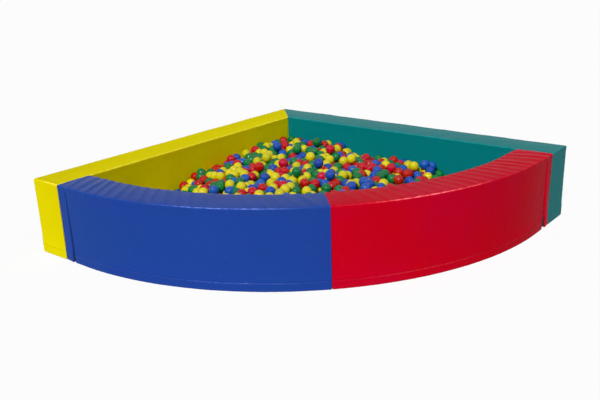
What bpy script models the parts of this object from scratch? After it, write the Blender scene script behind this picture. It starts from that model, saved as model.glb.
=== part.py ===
"""Corner ball pit: a quarter-round ring of covered foam walls round a heap of plastic balls.

Two straight walls meet in a mitre at the back corner. Two curved walls close the front in a quarter
round and end in a narrow end pad each, which stands against the straight wall's inner face. Every wall
is a foam block in a sewn cover of two parts, a hood over a base tray, joined by a zip. Touch tape holds
wall to wall. Two mat halves lie on the floor inside, and the balls lie on them.

Places are given as two distances from the back corner, along the wall of the piece's own side and along
the other straight wall, and a height. The model's origin is on the floor, at the middle of the whole
outline.
"""

import math

import bmesh
import bpy

# Walls, in metres
WALL_LENGTH = 2.50
WALL_HEIGHT = 0.50
WALL_THICKNESS = 0.25
CURVE_THICKNESS = 0.25
CURVE_RADIUS = 2.05
SEAM_HEIGHT = 0.057
CROWN = 0.006
EDGE_ROUND = 0.012
FOOT_CHAMFER = 0.005
PUCKER_DEPTH = 0.004
CURVE_FOAM_SLACK = 0.0012

# End pads of the curved walls
PAD_THICKNESS = 0.070
PAD_LIFT = 0.003
PAD_SPLAY = 0.022
WEDGE_GAP = 0.028
PAD_FOAM_GAP = 0.0008

# Cover cloth, touch tape and the gap between pieces that touch
VINYL = 0.001
TOUCH_GAP = 0.0003
TAPE_THICKNESS = 0.0012
TAPE_WIDTH = 0.050
TAPE_FOOT = 0.090
TAPE_TOP = 0.450

# Zips
ZIP_MARGIN = 0.18
ZIP_TAPE_THICKNESS = 0.0006
ZIP_TAPE_HEIGHT = 0.026
ZIP_SLOT_HEIGHT = 0.008
ZIP_SLOT_RAMP = 0.010
CHAIN_HEIGHT = 0.006
CHAIN_PROUD = 0.001
SLIDER_GAP = 0.0006
SLIDER_THICKNESS = 0.0045
SLIDER_LENGTH = 0.016
SLIDER_NOSE_WIDTH = 0.013
SLIDER_TAIL_WIDTH = 0.009
SLIDER_REST = 0.020
TAB_WIDTH = 0.006
TAB_LENGTH = 0.016

# Floor mat
MAT_HEIGHT = 0.025
MAT_ROUND = 0.004
MAT_GAP = 0.0006
MAT_SLOT_HEIGHT = 0.006

# Balls
BALL_DIAMETER = 0.070
HEAP_CLEARANCE = 0.020
HEAP_HEIGHT = 0.330
HEAP_FLAT_HALF_WIDTH = 0.50
HEAP_FOOT_HALF_WIDTH = 1.30
HEAP_SIDE_DROP = 0.170
HEAP_FLAT_REACH = 1.85
HEAP_FOOT_REACH = 2.40
HEAP_FRONT_DROP = 0.060
DIMPLE_DEPTH = 0.0153
SPREAD_REACH = 1.20
SPREAD_HALF_WIDTH = 0.42
SPREAD_HALF_DEPTH = 0.52

# Counts and shares
ROUND_STEPS = 2
CURVE_STEPS = 24
FOAM_CURVE_STRIDE = 2
MAT_CURVE_STEPS = 8
CURVE_ZIP_FIRST_STEP = 5
CURVE_ZIP_LAST_STEP = 19
CROWN_SHARES = (0.22, 0.5, 0.78)
MAT_SLOT_SHARES = (0.3, 0.7)
MAT_SLOT_LEVELS = (2, 3)
MAT_SLOT_POINTS = (1, 2)
LOOSE_BALLS = 12
BALL_SEGMENTS = 12
BALL_RINGS = 8

# Worked out from the sizes above
QUARTER_TURN = math.pi / 2
EIGHTH_TURN = math.pi / 4
HALF_ROOT = math.sqrt(0.5)
GOLDEN_TURN = math.pi * (3 - math.sqrt(5))
CURVE_CENTRE = WALL_LENGTH - CURVE_RADIUS
INNER_RADIUS = CURVE_RADIUS - CURVE_THICKNESS
JOINT_GAP = 2 * TAPE_THICKNESS + 3 * TOUCH_GAP
MITRE_START = JOINT_GAP / 2 / HALF_ROOT
PAD_START = WALL_THICKNESS + JOINT_GAP
CURVE_START = PAD_START + PAD_THICKNESS + TOUCH_GAP
LEAD_TURN = math.asin(max(CURVE_START + 2 * WEDGE_GAP - CURVE_CENTRE, 0) / INNER_RADIUS)
LEAD = CURVE_CENTRE + CURVE_RADIUS * math.sin(LEAD_TURN) - CURVE_START
FOAM_INSET = VINYL + ZIP_TAPE_THICKNESS + 2 * TOUCH_GAP
FOAM_FOOT = VINYL + TOUCH_GAP
FRONT_REACH = 2 * CURVE_CENTRE * HALF_ROOT + CURVE_RADIUS
CORNER_Y = FRONT_REACH / 2
BALL_RADIUS = BALL_DIAMETER / 2
ROW_PITCH = BALL_DIAMETER * math.sqrt(3) / 2
CELL_RADIUS = BALL_DIAMETER / math.sqrt(3)
HEAP_FOOT = MAT_HEIGHT + TOUCH_GAP

SIDES = ("left", "right")

YELLOW = (0.72, 0.62, 0.01)
GREEN = (0.01, 0.16, 0.15)
BLUE = (0.02, 0.06, 0.33)
RED = (0.50, 0.005, 0.02)
LEAF_GREEN = (0.005, 0.16, 0.04)
FOAM = (0.75, 0.72, 0.60)
BLACK = (0.02, 0.02, 0.02)
STEEL = (0.60, 0.60, 0.62)
VINYL_ROUGHNESS = 0.35
FOAM_ROUGHNESS = 0.9
TAPE_ROUGHNESS = 0.95
ZIP_ROUGHNESS = 0.6
STEEL_ROUGHNESS = 0.35
BALL_ROUGHNESS = 0.2
WALL_COLOURS = {"left": YELLOW, "right": GREEN}
CURVE_COLOURS = {"left": BLUE, "right": RED}
BALL_COLOURS = {"yellow": YELLOW, "red": RED, "green": LEAF_GREEN, "blue": BLUE}


def clear_scene():
    for item in list(bpy.data.objects):
        bpy.data.objects.remove(item, do_unlink=True)


def finish(name, colour, roughness, metallic=0.0):
    """A plain material with the piece's colour."""
    material = bpy.data.materials.new(name)
    material.use_nodes = True
    shader = material.node_tree.nodes["Principled BSDF"]
    shader.inputs["Base Color"].default_value = (*colour, 1)
    shader.inputs["Roughness"].default_value = roughness
    shader.inputs["Metallic"].default_value = metallic
    return material


def vinyl(name, colour):
    return finish(name, colour, VINYL_ROUGHNESS)


def world(side, own, other, height):
    """The place own metres along this side's straight wall and other metres along the other one."""
    left, right = (own, other) if side == "left" else (other, own)
    return ((right - left) * HALF_ROOT, CORNER_Y - (left + right) * HALF_ROOT, height)


def add_object(name, form, material, smooth_angle=None):
    """Turns a bmesh into a named object, with its normals facing out."""
    bmesh.ops.recalc_face_normals(form, faces=form.faces)
    mesh = bpy.data.meshes.new(name)
    form.to_mesh(mesh)
    form.free()
    mesh.materials.append(material)
    if smooth_angle is not None:
        mesh.shade_smooth()
        mesh.set_sharp_from_angle(angle=smooth_angle)
    piece = bpy.data.objects.new(name, mesh)
    bpy.context.scene.collection.objects.link(piece)
    return piece


def add_cloth_thickness(piece):
    """Thickens an open skin inwards by the cover cloth."""
    cloth = piece.modifiers.new("cloth", "SOLIDIFY")
    cloth.thickness = VINYL
    cloth.offset = -1
    cloth.use_even_offset = True
    cloth.use_rim = True


def loft(rings, closed):
    """Faces from ring to ring, and a cap over the first and the last ring."""
    form = bmesh.new()
    rows = [[form.verts.new(point) for point in ring] for ring in rings]
    count = len(rows[0])
    spans = count if closed else count - 1
    for near, far in zip(rows, rows[1:]):
        for i in range(spans):
            j = (i + 1) % count
            form.faces.new((near[i], near[j], far[j], far[i]))
    bmesh.ops.triangulate(form, faces=form.faces, quad_method="FIXED")
    form.faces.new(rows[0])
    form.faces.new(list(reversed(rows[-1])))
    return form


def prism(outline, low, high):
    """An upright prism over a plan outline of world x, y places."""
    foot = [(x, y, low) for x, y, _ in outline]
    head = [(x, y, high) for x, y, _ in outline]
    return loft([foot, head], closed=True)


def rounded_stops(length, inset, middle):
    """Distance and inset of each section along a block whose two end edges are rounded."""
    start = inset / HALF_ROOT
    stops = []
    for i in range(ROUND_STEPS + 1):
        turn = QUARTER_TURN * i / ROUND_STEPS
        stops.append((start + EDGE_ROUND * (1 - math.cos(turn)), inset + EDGE_ROUND * (1 - math.sin(turn))))
    ends = [(length - distance, drawn_in) for distance, drawn_in in reversed(stops)]
    return stops + [(distance, inset) for distance in middle] + ends


def top_height(depth_share, inset):
    return WALL_HEIGHT - inset - CROWN * (2 * depth_share - 1) ** 2


def over_the_top(depth, inset, sunk):
    """Points across a wall from its outer shoulder, over the crowned top, to its inner shoulder."""
    shoulder = top_height((inset + EDGE_ROUND) / depth, inset) - EDGE_ROUND
    outer = []
    for i in range(ROUND_STEPS + 1):
        turn = QUARTER_TURN * i / ROUND_STEPS
        outer.append((inset + EDGE_ROUND * (1 - math.cos(turn)), shoulder + EDGE_ROUND * math.sin(turn)))
    crown = [(depth * share, top_height(share, inset) - sunk) for share in CROWN_SHARES]
    inner = [(depth - across, height) for across, height in reversed(outer)]
    return outer + crown + inner


def chamfer_the_foot(depth, inset, sole):
    """Points across a wall's foot from its outer side, under the sole, to its inner side."""
    outer = [(inset, sole + FOOT_CHAMFER), (inset + FOOT_CHAMFER, sole)]
    return outer + [(depth - across, height) for across, height in reversed(outer)]


def straight_route(distance, across, height):
    """A straight wall: its first end is the mitre at the back corner, where own and other are equal."""
    start = MITRE_START + across
    run = (WALL_LENGTH - start) / (WALL_LENGTH - MITRE_START)
    return start + distance * run, across


def curve_start(height):
    """Where a curved wall begins beside its end pad, across a wedge that widens downwards."""
    return CURVE_START + WEDGE_GAP * (1 - height / WALL_HEIGHT)


def curved_route(distance, across, height):
    """A curved wall: a short lead beside the end pad, then the rest of an eighth of a circle."""
    radius = CURVE_RADIUS - across
    if distance < LEAD:
        start = curve_start(height)
        start_own = CURVE_CENTRE + math.sqrt(radius**2 - max(start - CURVE_CENTRE, 0) ** 2)
        end_own = CURVE_CENTRE + radius * math.cos(LEAD_TURN)
        end_other = CURVE_CENTRE + radius * math.sin(LEAD_TURN)
        share = distance / LEAD
        return start_own + share * (end_own - start_own), start + share * (end_other - start)
    turn = LEAD_TURN + (distance - LEAD) / CURVE_RADIUS
    back = JOINT_GAP / 2 * turn / EIGHTH_TURN * HALF_ROOT
    return CURVE_CENTRE + radius * math.cos(turn) + back, CURVE_CENTRE + radius * math.sin(turn) - back


def pad_route(distance, across, height):
    """An end pad's cover, across the straight wall's face: its free edge splays outwards near the floor."""
    lowness = 1 - height / WALL_HEIGHT
    splay = PAD_SPLAY * distance / PAD_THICKNESS * lowness * (1 - across / CURVE_THICKNESS)
    return WALL_LENGTH - across + splay, PAD_START + distance


def curve_distance(step):
    """Distance along a curved wall's outer face at one of the equal steps of its arc."""
    return LEAD + CURVE_RADIUS * (EIGHTH_TURN - LEAD_TURN) * step / CURVE_STEPS


STRAIGHT = {
    "route": straight_route,
    "depth": WALL_THICKNESS,
    "length": WALL_LENGTH - MITRE_START,
    "zip_start": ZIP_MARGIN,
    "zip_end": WALL_LENGTH - ZIP_MARGIN,
    "zip_inside": False,
    "middle": (
        ZIP_MARGIN - ZIP_SLOT_RAMP,
        ZIP_MARGIN,
        WALL_LENGTH / 2,
        WALL_LENGTH - ZIP_MARGIN,
        WALL_LENGTH - ZIP_MARGIN + ZIP_SLOT_RAMP,
    ),
    "pucker": 0,
    "foam_inset": FOAM_INSET,
    "foam_middle": (WALL_LENGTH / 2,),
}
CURVED = {
    "route": curved_route,
    "depth": CURVE_THICKNESS,
    "length": curve_distance(CURVE_STEPS),
    "zip_start": curve_distance(CURVE_ZIP_FIRST_STEP),
    "zip_end": curve_distance(CURVE_ZIP_LAST_STEP),
    "zip_inside": True,
    "middle": tuple(curve_distance(step) for step in range(CURVE_STEPS)),
    "pucker": PUCKER_DEPTH,
    "foam_inset": FOAM_INSET + CURVE_FOAM_SLACK,
    "foam_middle": tuple(curve_distance(step) for step in range(0, CURVE_STEPS, FOAM_CURVE_STRIDE)),
}


def slot_share(wall, distance):
    """One along the zip, where the hood and the tray stand back from the chain, and zero elsewhere."""
    return 1 if wall["zip_start"] <= distance <= wall["zip_end"] else 0


def seam_ends(wall, distance, upward):
    """Heights of a cover's edge at the seam, on the wall's outer and inner side."""
    gap = TOUCH_GAP + slot_share(wall, distance) * (ZIP_SLOT_HEIGHT - TOUCH_GAP)
    plain = SEAM_HEIGHT + upward * TOUCH_GAP / 2
    beside_zip = SEAM_HEIGHT + upward * gap / 2
    return (plain, beside_zip) if wall["zip_inside"] else (beside_zip, plain)


def place_ring(side, wall, distance, section):
    return [world(side, *wall["route"](distance, across, height), height) for across, height in section]


def hood(side, wall, name, colour):
    """The upper cover: top, both faces and both ends in one skin, open at the seam."""
    rings = []
    for index, (distance, inset) in enumerate(rounded_stops(wall["length"], 0, wall["middle"])):
        outer_edge, inner_edge = seam_ends(wall, distance, 1)
        sunk = wall["pucker"] * (index % 2)
        section = [(inset, outer_edge)] + over_the_top(wall["depth"], inset, sunk)
        section.append((wall["depth"] - inset, inner_edge))
        rings.append(place_ring(side, wall, distance, section))
    piece = add_object(name, loft(rings, closed=False), vinyl(name, colour), EIGHTH_TURN)
    add_cloth_thickness(piece)


def base_tray(side, wall, name, colour):
    """The lower cover: the sole and a low skirt all round, open at the seam."""
    rings = []
    for distance, inset in rounded_stops(wall["length"], 0, wall["middle"]):
        outer_edge, inner_edge = seam_ends(wall, distance, -1)
        section = [(inset, outer_edge)] + chamfer_the_foot(wall["depth"], inset, 0)
        section.append((wall["depth"] - inset, inner_edge))
        rings.append(place_ring(side, wall, distance, section))
    piece = add_object(name, loft(rings, closed=False), vinyl(name, colour), EIGHTH_TURN)
    add_cloth_thickness(piece)


def foam_core(side, wall, name):
    """The foam block that fills a wall's cover."""
    rings = []
    length = wall["length"] - wall["foam_inset"] / HALF_ROOT
    for distance, inset in rounded_stops(length, wall["foam_inset"], wall["foam_middle"]):
        section = over_the_top(wall["depth"], inset, wall["pucker"])
        section += reversed(chamfer_the_foot(wall["depth"], inset, FOAM_FOOT))
        rings.append(place_ring(side, wall, distance, section))
    add_object(name, loft(rings, closed=True), finish(name, FOAM, FOAM_ROUGHNESS), EIGHTH_TURN)


def zip_chain(side, wall, name):
    """The zip between hood and tray: woven tape behind the cloth, its chain standing through the slot."""
    front = VINYL + TOUCH_GAP
    back = front + ZIP_TAPE_THICKNESS
    tape = ZIP_TAPE_HEIGHT / 2
    chain = CHAIN_HEIGHT / 2
    section = [
        (back, -tape),
        (back, tape),
        (front, tape),
        (front, chain),
        (-CHAIN_PROUD, chain),
        (-CHAIN_PROUD, -chain),
        (front, -chain),
        (front, -tape),
    ]
    section = [(across, SEAM_HEIGHT + height) for across, height in section]
    if wall["zip_inside"]:
        section = [(wall["depth"] - across, height) for across, height in section]
    start = wall["zip_start"] + TOUCH_GAP
    end = wall["zip_end"] - TOUCH_GAP
    stops = [start] + [stop for stop in wall["middle"] if start < stop < end] + [end]
    rings = [place_ring(side, wall, stop, section) for stop in stops]
    add_object(name, loft(rings, closed=True), finish(name, BLACK, ZIP_ROUGHNESS))


def zip_slider(side, wall, name):
    """The slider on the chain with its pull tab, one casting cut to a shield outline."""
    nose = SLIDER_NOSE_WIDTH / 2
    tail = SLIDER_TAIL_WIDTH / 2
    tab = TAB_WIDTH / 2
    half = SLIDER_LENGTH / 2
    outline = [
        (-half, nose),
        (half, tail),
        (half, -tail),
        (tab, -tail),
        (tab, -tail - TAB_LENGTH),
        (-tab, -tail - TAB_LENGTH),
        (-tab, -tail),
        (-half, -nose),
    ]
    middle = wall["zip_start"] + SLIDER_REST
    near = -CHAIN_PROUD - SLIDER_GAP
    far = near - SLIDER_THICKNESS
    rings = []
    for across in (near, far):
        if wall["zip_inside"]:
            across = wall["depth"] - across
        place = wall["route"](middle, across, SEAM_HEIGHT)
        ahead = wall["route"](middle + SLIDER_LENGTH, across, SEAM_HEIGHT)
        run = math.dist(place, ahead)
        along = ((ahead[0] - place[0]) / run, (ahead[1] - place[1]) / run)
        ring = []
        for distance, height in outline:
            own = place[0] + along[0] * distance
            other = place[1] + along[1] * distance
            ring.append(world(side, own, other, SEAM_HEIGHT + height))
        rings.append(ring)
    add_object(name, loft(rings, closed=True), finish(name, STEEL, STEEL_ROUGHNESS, 1))


def end_pad_cover(side, name, colour):
    """The cover of an end pad: a sleeve closed at the top, open at its foot where the foam goes in."""
    rings = []
    for distance, inset in rounded_stops(PAD_THICKNESS, 0, ()):
        section = [(inset, PAD_LIFT)] + over_the_top(CURVE_THICKNESS, inset, 0)
        section.append((CURVE_THICKNESS - inset, PAD_LIFT))
        rings.append([world(side, *pad_route(distance, across, z), z) for across, z in section])
    piece = add_object(name, loft(rings, closed=False), vinyl(name, colour), EIGHTH_TURN)
    add_cloth_thickness(piece)


def end_pad_foam(side, name):
    """The pad's foam, a plain slab: only the cover's free edge splays."""
    rings = []
    inset = VINYL + PAD_FOAM_GAP
    for distance, drawn_in in rounded_stops(PAD_THICKNESS - inset / HALF_ROOT, inset, ()):
        section = [(drawn_in, PAD_LIFT)] + over_the_top(CURVE_THICKNESS, drawn_in, 0)
        section.append((CURVE_THICKNESS - drawn_in, PAD_LIFT))
        rings.append([world(side, WALL_LENGTH - across, PAD_START + distance, z) for across, z in section])
    add_object(name, loft(rings, closed=True), finish(name, FOAM, FOAM_ROUGHNESS), EIGHTH_TURN)


def diagonal_tape(side, name, reach):
    """Touch tape on a face that meets the mirrored wall, reach metres from the back corner."""
    near = TOUCH_GAP / 2
    far = near + TAPE_THICKNESS
    outline = []
    for off, along in ((near, -1), (near, 1), (far, 1), (far, -1)):
        run = (reach + along * TAPE_WIDTH / 2) * HALF_ROOT
        outline.append(world(side, run + off * HALF_ROOT, run - off * HALF_ROOT, 0))
    add_object(name, prism(outline, TAPE_FOOT, TAPE_TOP), finish(name, BLACK, TAPE_ROUGHNESS))


def pad_tape(side, name, near):
    """Touch tape between the straight wall's inner face and the end pad."""
    middle = WALL_LENGTH - CURVE_THICKNESS / 2
    low = middle - TAPE_WIDTH / 2
    high = middle + TAPE_WIDTH / 2
    far = near + TAPE_THICKNESS
    corners = ((low, near), (high, near), (high, far), (low, far))
    outline = [world(side, own, other, 0) for own, other in corners]
    add_object(name, prism(outline, TAPE_FOOT, TAPE_TOP), finish(name, BLACK, TAPE_ROUGHNESS))


def mat_outline(side, inset, height):
    """Plan of one mat half: along the straight wall, past the end pad, round the arc and back."""
    edge = WALL_THICKNESS + MAT_GAP + inset
    off_middle = TOUCH_GAP / 2 + inset
    start = edge + off_middle / HALF_ROOT
    radius = INNER_RADIUS - MAT_GAP - inset
    first_turn = math.asin(max(edge - CURVE_CENTRE, 0) / radius)
    last_turn = EIGHTH_TURN - math.asin(off_middle / radius)
    end = CURVE_CENTRE + radius * math.cos(first_turn)
    points = [(start, edge)]
    points += [(start + share * (end - start), edge) for share in MAT_SLOT_SHARES]
    if first_turn == 0:
        points.append((end, edge))
    for step in range(MAT_CURVE_STEPS + 1):
        turn = first_turn + (last_turn - first_turn) * step / MAT_CURVE_STEPS
        points.append((CURVE_CENTRE + radius * math.cos(turn), CURVE_CENTRE + radius * math.sin(turn)))
    return [world(side, own, other, height) for own, other in points]


def mat_levels(inset):
    slot_low = (MAT_HEIGHT - MAT_SLOT_HEIGHT) / 2
    return [
        (inset, inset + MAT_ROUND),
        (inset + MAT_ROUND, inset),
        (slot_low, inset),
        (slot_low + MAT_SLOT_HEIGHT, inset),
        (MAT_HEIGHT - inset - MAT_ROUND, inset),
        (MAT_HEIGHT - inset, inset + MAT_ROUND),
    ]


def mat_cover(side, name):
    """The mat's cover, with the slot in its long side through which the foam goes in."""
    form = loft([mat_outline(side, inset, height) for height, inset in mat_levels(0)], closed=True)
    form.verts.index_update()
    per_level = len(mat_outline(side, 0, 0))
    corners = {level * per_level + point for level in MAT_SLOT_LEVELS for point in MAT_SLOT_POINTS}
    slot_faces = [face for face in form.faces if all(vert.index in corners for vert in face.verts)]
    bmesh.ops.delete(form, geom=slot_faces, context="FACES")
    piece = add_object(name, form, vinyl(name, BLUE))
    add_cloth_thickness(piece)


def mat_foam(side, name):
    inset = VINYL + TOUCH_GAP
    rings = [mat_outline(side, drawn_in, height) for height, drawn_in in mat_levels(inset)]
    add_object(name, loft(rings, closed=True), finish(name, FOAM, FOAM_ROUGHNESS))


def smooth_step(share):
    share = min(max(share, 0), 1)
    return share * share * (3 - 2 * share)


def heap_height(x, y):
    """Height of the top balls' middles: flat behind, lower towards the two side ends and the front."""
    sideways = (abs(x) - HEAP_FLAT_HALF_WIDTH) / (HEAP_FOOT_HALF_WIDTH - HEAP_FLAT_HALF_WIDTH)
    forward = (CORNER_Y - y - HEAP_FLAT_REACH) / (HEAP_FOOT_REACH - HEAP_FLAT_REACH)
    return HEAP_HEIGHT - HEAP_SIDE_DROP * smooth_step(sideways) - HEAP_FRONT_DROP * smooth_step(forward)


def in_the_pit(x, y, margin):
    """Whether a place is at least margin metres inside the walls' inner faces."""
    reach = CORNER_Y - y
    left = (reach - x) * HALF_ROOT
    right = (reach + x) * HALF_ROOT
    if min(left, right) < WALL_THICKNESS + margin:
        return False
    if max(left, right) > WALL_LENGTH - CURVE_THICKNESS - margin:
        return False
    if min(left, right) < CURVE_CENTRE:
        return True
    return math.hypot(left - CURVE_CENTRE, right - CURVE_CENTRE) < INNER_RADIUS - margin


def ball_cells():
    """Column and row of each ball of the top layer, in a honeycomb of touching balls."""
    margin = HEAP_CLEARANCE + CELL_RADIUS
    columns = int(WALL_LENGTH / BALL_DIAMETER)
    rows = int(FRONT_REACH / ROW_PITCH)
    cells = []
    for row in range(rows + 1):
        for column in range(-columns, columns + 1):
            if in_the_pit(*cell_middle(column, row), margin):
                cells.append((column, row))
    return cells


def cell_middle(column, row):
    return (column + row % 2 / 2) * BALL_DIAMETER, CORNER_Y - row * ROW_PITCH


def heap(name):
    """The heap as one body: a dome for each ball of its top layer, with sides down to the mat."""
    form = bmesh.new()
    corners = {}
    corner_steps = ((0, 2), (-1, 1), (-1, -1), (0, -2), (1, -1), (1, 1))
    for column, row in ball_cells():
        x, y = cell_middle(column, row)
        peak = form.verts.new((x, y, heap_height(x, y) + BALL_RADIUS))
        ring = []
        for across, down in corner_steps:
            key = (2 * column + row % 2 + across, 3 * row + down)
            if key not in corners:
                corner_x = x + across * BALL_DIAMETER / 2
                corner_y = y - down * ROW_PITCH / 3
                height = heap_height(corner_x, corner_y) + BALL_RADIUS - DIMPLE_DEPTH
                corners[key] = form.verts.new((corner_x, corner_y, height))
            ring.append(corners[key])
        for near, far in zip(ring, ring[1:] + ring[:1]):
            form.faces.new((peak, near, far))
    rim = [edge for edge in form.edges if edge.is_boundary]
    skirt = bmesh.ops.extrude_edge_only(form, edges=rim)["geom"]
    for vert in skirt:
        if isinstance(vert, bmesh.types.BMVert):
            vert.co.z = HEAP_FOOT
    bmesh.ops.holes_fill(form, edges=[edge for edge in form.edges if edge.is_boundary], sides=0)
    add_object(name, form, finish(name, YELLOW, BALL_ROUGHNESS), EIGHTH_TURN)


def seat_height():
    """Height of a loose ball's middle over its dimple, where it clears the three domes."""
    slope = math.atan(DIMPLE_DEPTH / CELL_RADIUS)
    dimple = HEAP_HEIGHT + BALL_RADIUS - DIMPLE_DEPTH
    return dimple + (BALL_RADIUS + TOUCH_GAP) / math.cos(slope)


def loose_ball_places():
    """Dimples nearest to the turns of a sunflower spiral over the flat part of the heap."""
    places = []
    for index in range(LOOSE_BALLS):
        share = math.sqrt((index + 0.5) / LOOSE_BALLS)
        x = SPREAD_HALF_WIDTH * share * math.cos(GOLDEN_TURN * index)
        y = CORNER_Y - SPREAD_REACH - SPREAD_HALF_DEPTH * share * math.sin(GOLDEN_TURN * index)
        row = round((CORNER_Y - y) / ROW_PITCH)
        column = round(x / BALL_DIAMETER - row % 2 / 2)
        cell_x, cell_y = cell_middle(column, row)
        places.append((cell_x, cell_y - CELL_RADIUS, seat_height()))
    return places


def loose_ball(name, place, colour):
    form = bmesh.new()
    bmesh.ops.create_uvsphere(form, u_segments=BALL_SEGMENTS, v_segments=BALL_RINGS, radius=BALL_RADIUS)
    piece = add_object(name, form, finish(name, colour, BALL_ROUGHNESS), math.pi)
    piece.location = place


def build():
    clear_scene()
    for side in SIDES:
        wall_colour = WALL_COLOURS[side]
        curve_colour = CURVE_COLOURS[side]
        foam_core(side, STRAIGHT, f"{side}_wall_foam")
        hood(side, STRAIGHT, f"{side}_wall_hood", wall_colour)
        base_tray(side, STRAIGHT, f"{side}_wall_base_tray", wall_colour)
        zip_chain(side, STRAIGHT, f"{side}_wall_zip_chain")
        zip_slider(side, STRAIGHT, f"{side}_wall_zip_slider")
        foam_core(side, CURVED, f"{side}_curve_foam")
        hood(side, CURVED, f"{side}_curve_hood", curve_colour)
        base_tray(side, CURVED, f"{side}_curve_base_tray", curve_colour)
        zip_chain(side, CURVED, f"{side}_curve_zip_chain")
        zip_slider(side, CURVED, f"{side}_curve_zip_slider")
        end_pad_foam(side, f"{side}_end_pad_foam")
        end_pad_cover(side, f"{side}_end_pad_cover", curve_colour)
        pad_tape(side, f"{side}_wall_loop_tape", WALL_THICKNESS + TOUCH_GAP)
        pad_tape(side, f"{side}_end_pad_hook_tape", WALL_THICKNESS + TAPE_THICKNESS + 2 * TOUCH_GAP)
        mat_foam(side, f"{side}_mat_foam")
        mat_cover(side, f"{side}_mat_cover")
    corner_reach = WALL_THICKNESS / 2 / HALF_ROOT
    seam_reach = FRONT_REACH - CURVE_THICKNESS / 2
    diagonal_tape("left", "left_corner_hook_tape", corner_reach)
    diagonal_tape("right", "right_corner_loop_tape", corner_reach)
    diagonal_tape("left", "left_curve_hook_tape", seam_reach)
    diagonal_tape("right", "right_curve_loop_tape", seam_reach)
    heap("ball_heap")
    colours = list(BALL_COLOURS.items())
    for index, place in enumerate(loose_ball_places()):
        colour_name, colour = colours[index % len(colours)]
        loose_ball(f"{colour_name}_ball_{index // len(colours) + 1}", place, colour)


build()
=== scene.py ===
"""The looks of a corner ball pit: vinyl covers, foam, zips, touch tape, floor mats and a heap of balls.

Places are given as part.py gives them: a distance along a wall from its first end, a distance across it
from its outer face, and a height. A route turns these into distances from the back corner along the
piece's own straight wall and along the other one, and world() turns those into the model's frame.
"""

import math

import bmesh
import bpy
import numpy as np
from mathutils import Matrix, Vector

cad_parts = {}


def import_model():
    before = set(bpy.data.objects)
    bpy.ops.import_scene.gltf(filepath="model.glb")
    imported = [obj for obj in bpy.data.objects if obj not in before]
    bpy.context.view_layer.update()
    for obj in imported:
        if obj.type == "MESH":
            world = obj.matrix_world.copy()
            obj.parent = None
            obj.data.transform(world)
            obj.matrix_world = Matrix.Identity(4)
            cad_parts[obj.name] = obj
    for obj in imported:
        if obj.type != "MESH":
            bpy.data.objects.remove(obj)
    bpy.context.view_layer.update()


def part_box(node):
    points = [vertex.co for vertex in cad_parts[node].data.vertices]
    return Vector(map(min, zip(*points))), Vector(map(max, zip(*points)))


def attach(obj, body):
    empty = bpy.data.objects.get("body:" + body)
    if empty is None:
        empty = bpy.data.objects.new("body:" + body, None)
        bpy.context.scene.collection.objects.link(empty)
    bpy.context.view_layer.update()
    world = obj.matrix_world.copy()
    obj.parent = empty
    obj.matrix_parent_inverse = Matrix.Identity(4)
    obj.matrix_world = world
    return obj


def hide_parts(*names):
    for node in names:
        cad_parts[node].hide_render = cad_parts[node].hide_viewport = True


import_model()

# Walls and end pads, in metres
WALL_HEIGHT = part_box("left_wall_hood")[1].z
SEAM_HEIGHT = (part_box("left_wall_hood")[0].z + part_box("left_wall_base_tray")[1].z) / 2
WALL_LENGTH = 2.50
WALL_THICKNESS = 0.25
CURVE_RADIUS = 2.05
CURVE_CENTRE = WALL_LENGTH - CURVE_RADIUS
INNER_RADIUS = CURVE_RADIUS - WALL_THICKNESS
PAD_THICKNESS = 0.070
PAD_SPLAY = 0.008
PAD_FLARE = {"left": 0.012, "right": -0.006}
PAD_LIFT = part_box("left_end_pad_cover")[0].z
WEDGE_GAP = 0.014
GAP_OPEN = {"left": 0.009, "right": 0.018}
GAP_OPEN_RUN = 0.008
# A dark sheet that paints shade in each wedge: how deep it sits, its sag, its thickness and its cuts
SHADE_SHEET_DEPTH = 0.0045
SHADE_SHEET_SAG = 0.004
SHADE_SHEET_CLOTH = 0.0005
SHADE_SHEET_CUTS = 6
NOTCH_DROP = 0.030
NOTCH_WIDTH = 0.0025
CROWN = 0.003
CROWN_START = 0.36
CROWN_RUN = 0.12
EDGE_ROUND = 0.008
END_ROUND = 0.006
NOTCH_ROUND = 0.005
NOTCH_ROUND_RUN = 0.030
LEAST_ROUND = 0.0005
FOOT_ROUND = 0.005

# Covers and what holds them
VINYL = 0.001
TOUCH_GAP = 0.0003
TAPE_THICKNESS = 0.0012
TAPE_WIDTH = 0.050
TAPE_FOOT = 0.090
TAPE_TOP = 0.450
TAPE_STEPS = (0.0025, 0.005)
TAPE_EDGE = 0.003
TAPE_EDGE_SINK = 0.00030
PILE_DEPTH = 0.00012
JOINT_GAP = 2 * TAPE_THICKNESS + 3 * TOUCH_GAP
HEM_HEIGHT = 0.012
HEM_PROUD = 0.0005
RIM_DROP = 0.006
RIM_WIDTH = 0.0045
RIM_PROUD = 0.0012
# Painted highlight along the upper rims of the curved walls' trays, for each side
RIM_HIGHLIGHT = {"left": 0.30, "right": 0.12}
BEAD_PROUD = 0.0012
SIDE_DRAW = 0.0020
END_MEETING_GAP = 0.0003
TAPE_MARGIN = 0.014
FOOT_SEAM = 0.017
FOOT_SEAM_DEPTH = 0.0006
FOOT_SEAM_WIDTH = 0.0022
HEM_RAMP = 0.003
TOP_BAND = 0.045
SIDE_BLEND = 0.05
BROAD_SWELL = 0.42
FINE_SWELL = 0.11
TOP_SWELLS = (0.0007, 0.00035)
SIDE_SWELLS = (0.0006, 0.0003)
PAD_FOOT_BLEND = 0.03
PAD_FOOT_PROUD = 0.0003
END_FACING = (0.25, 0.45)
SIDE_FACING = 1.2
BEAD_SPREAD = 0.28
THREAD_PULLS = ((0.30, 0.034), (0.18, 0.017))

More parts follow.
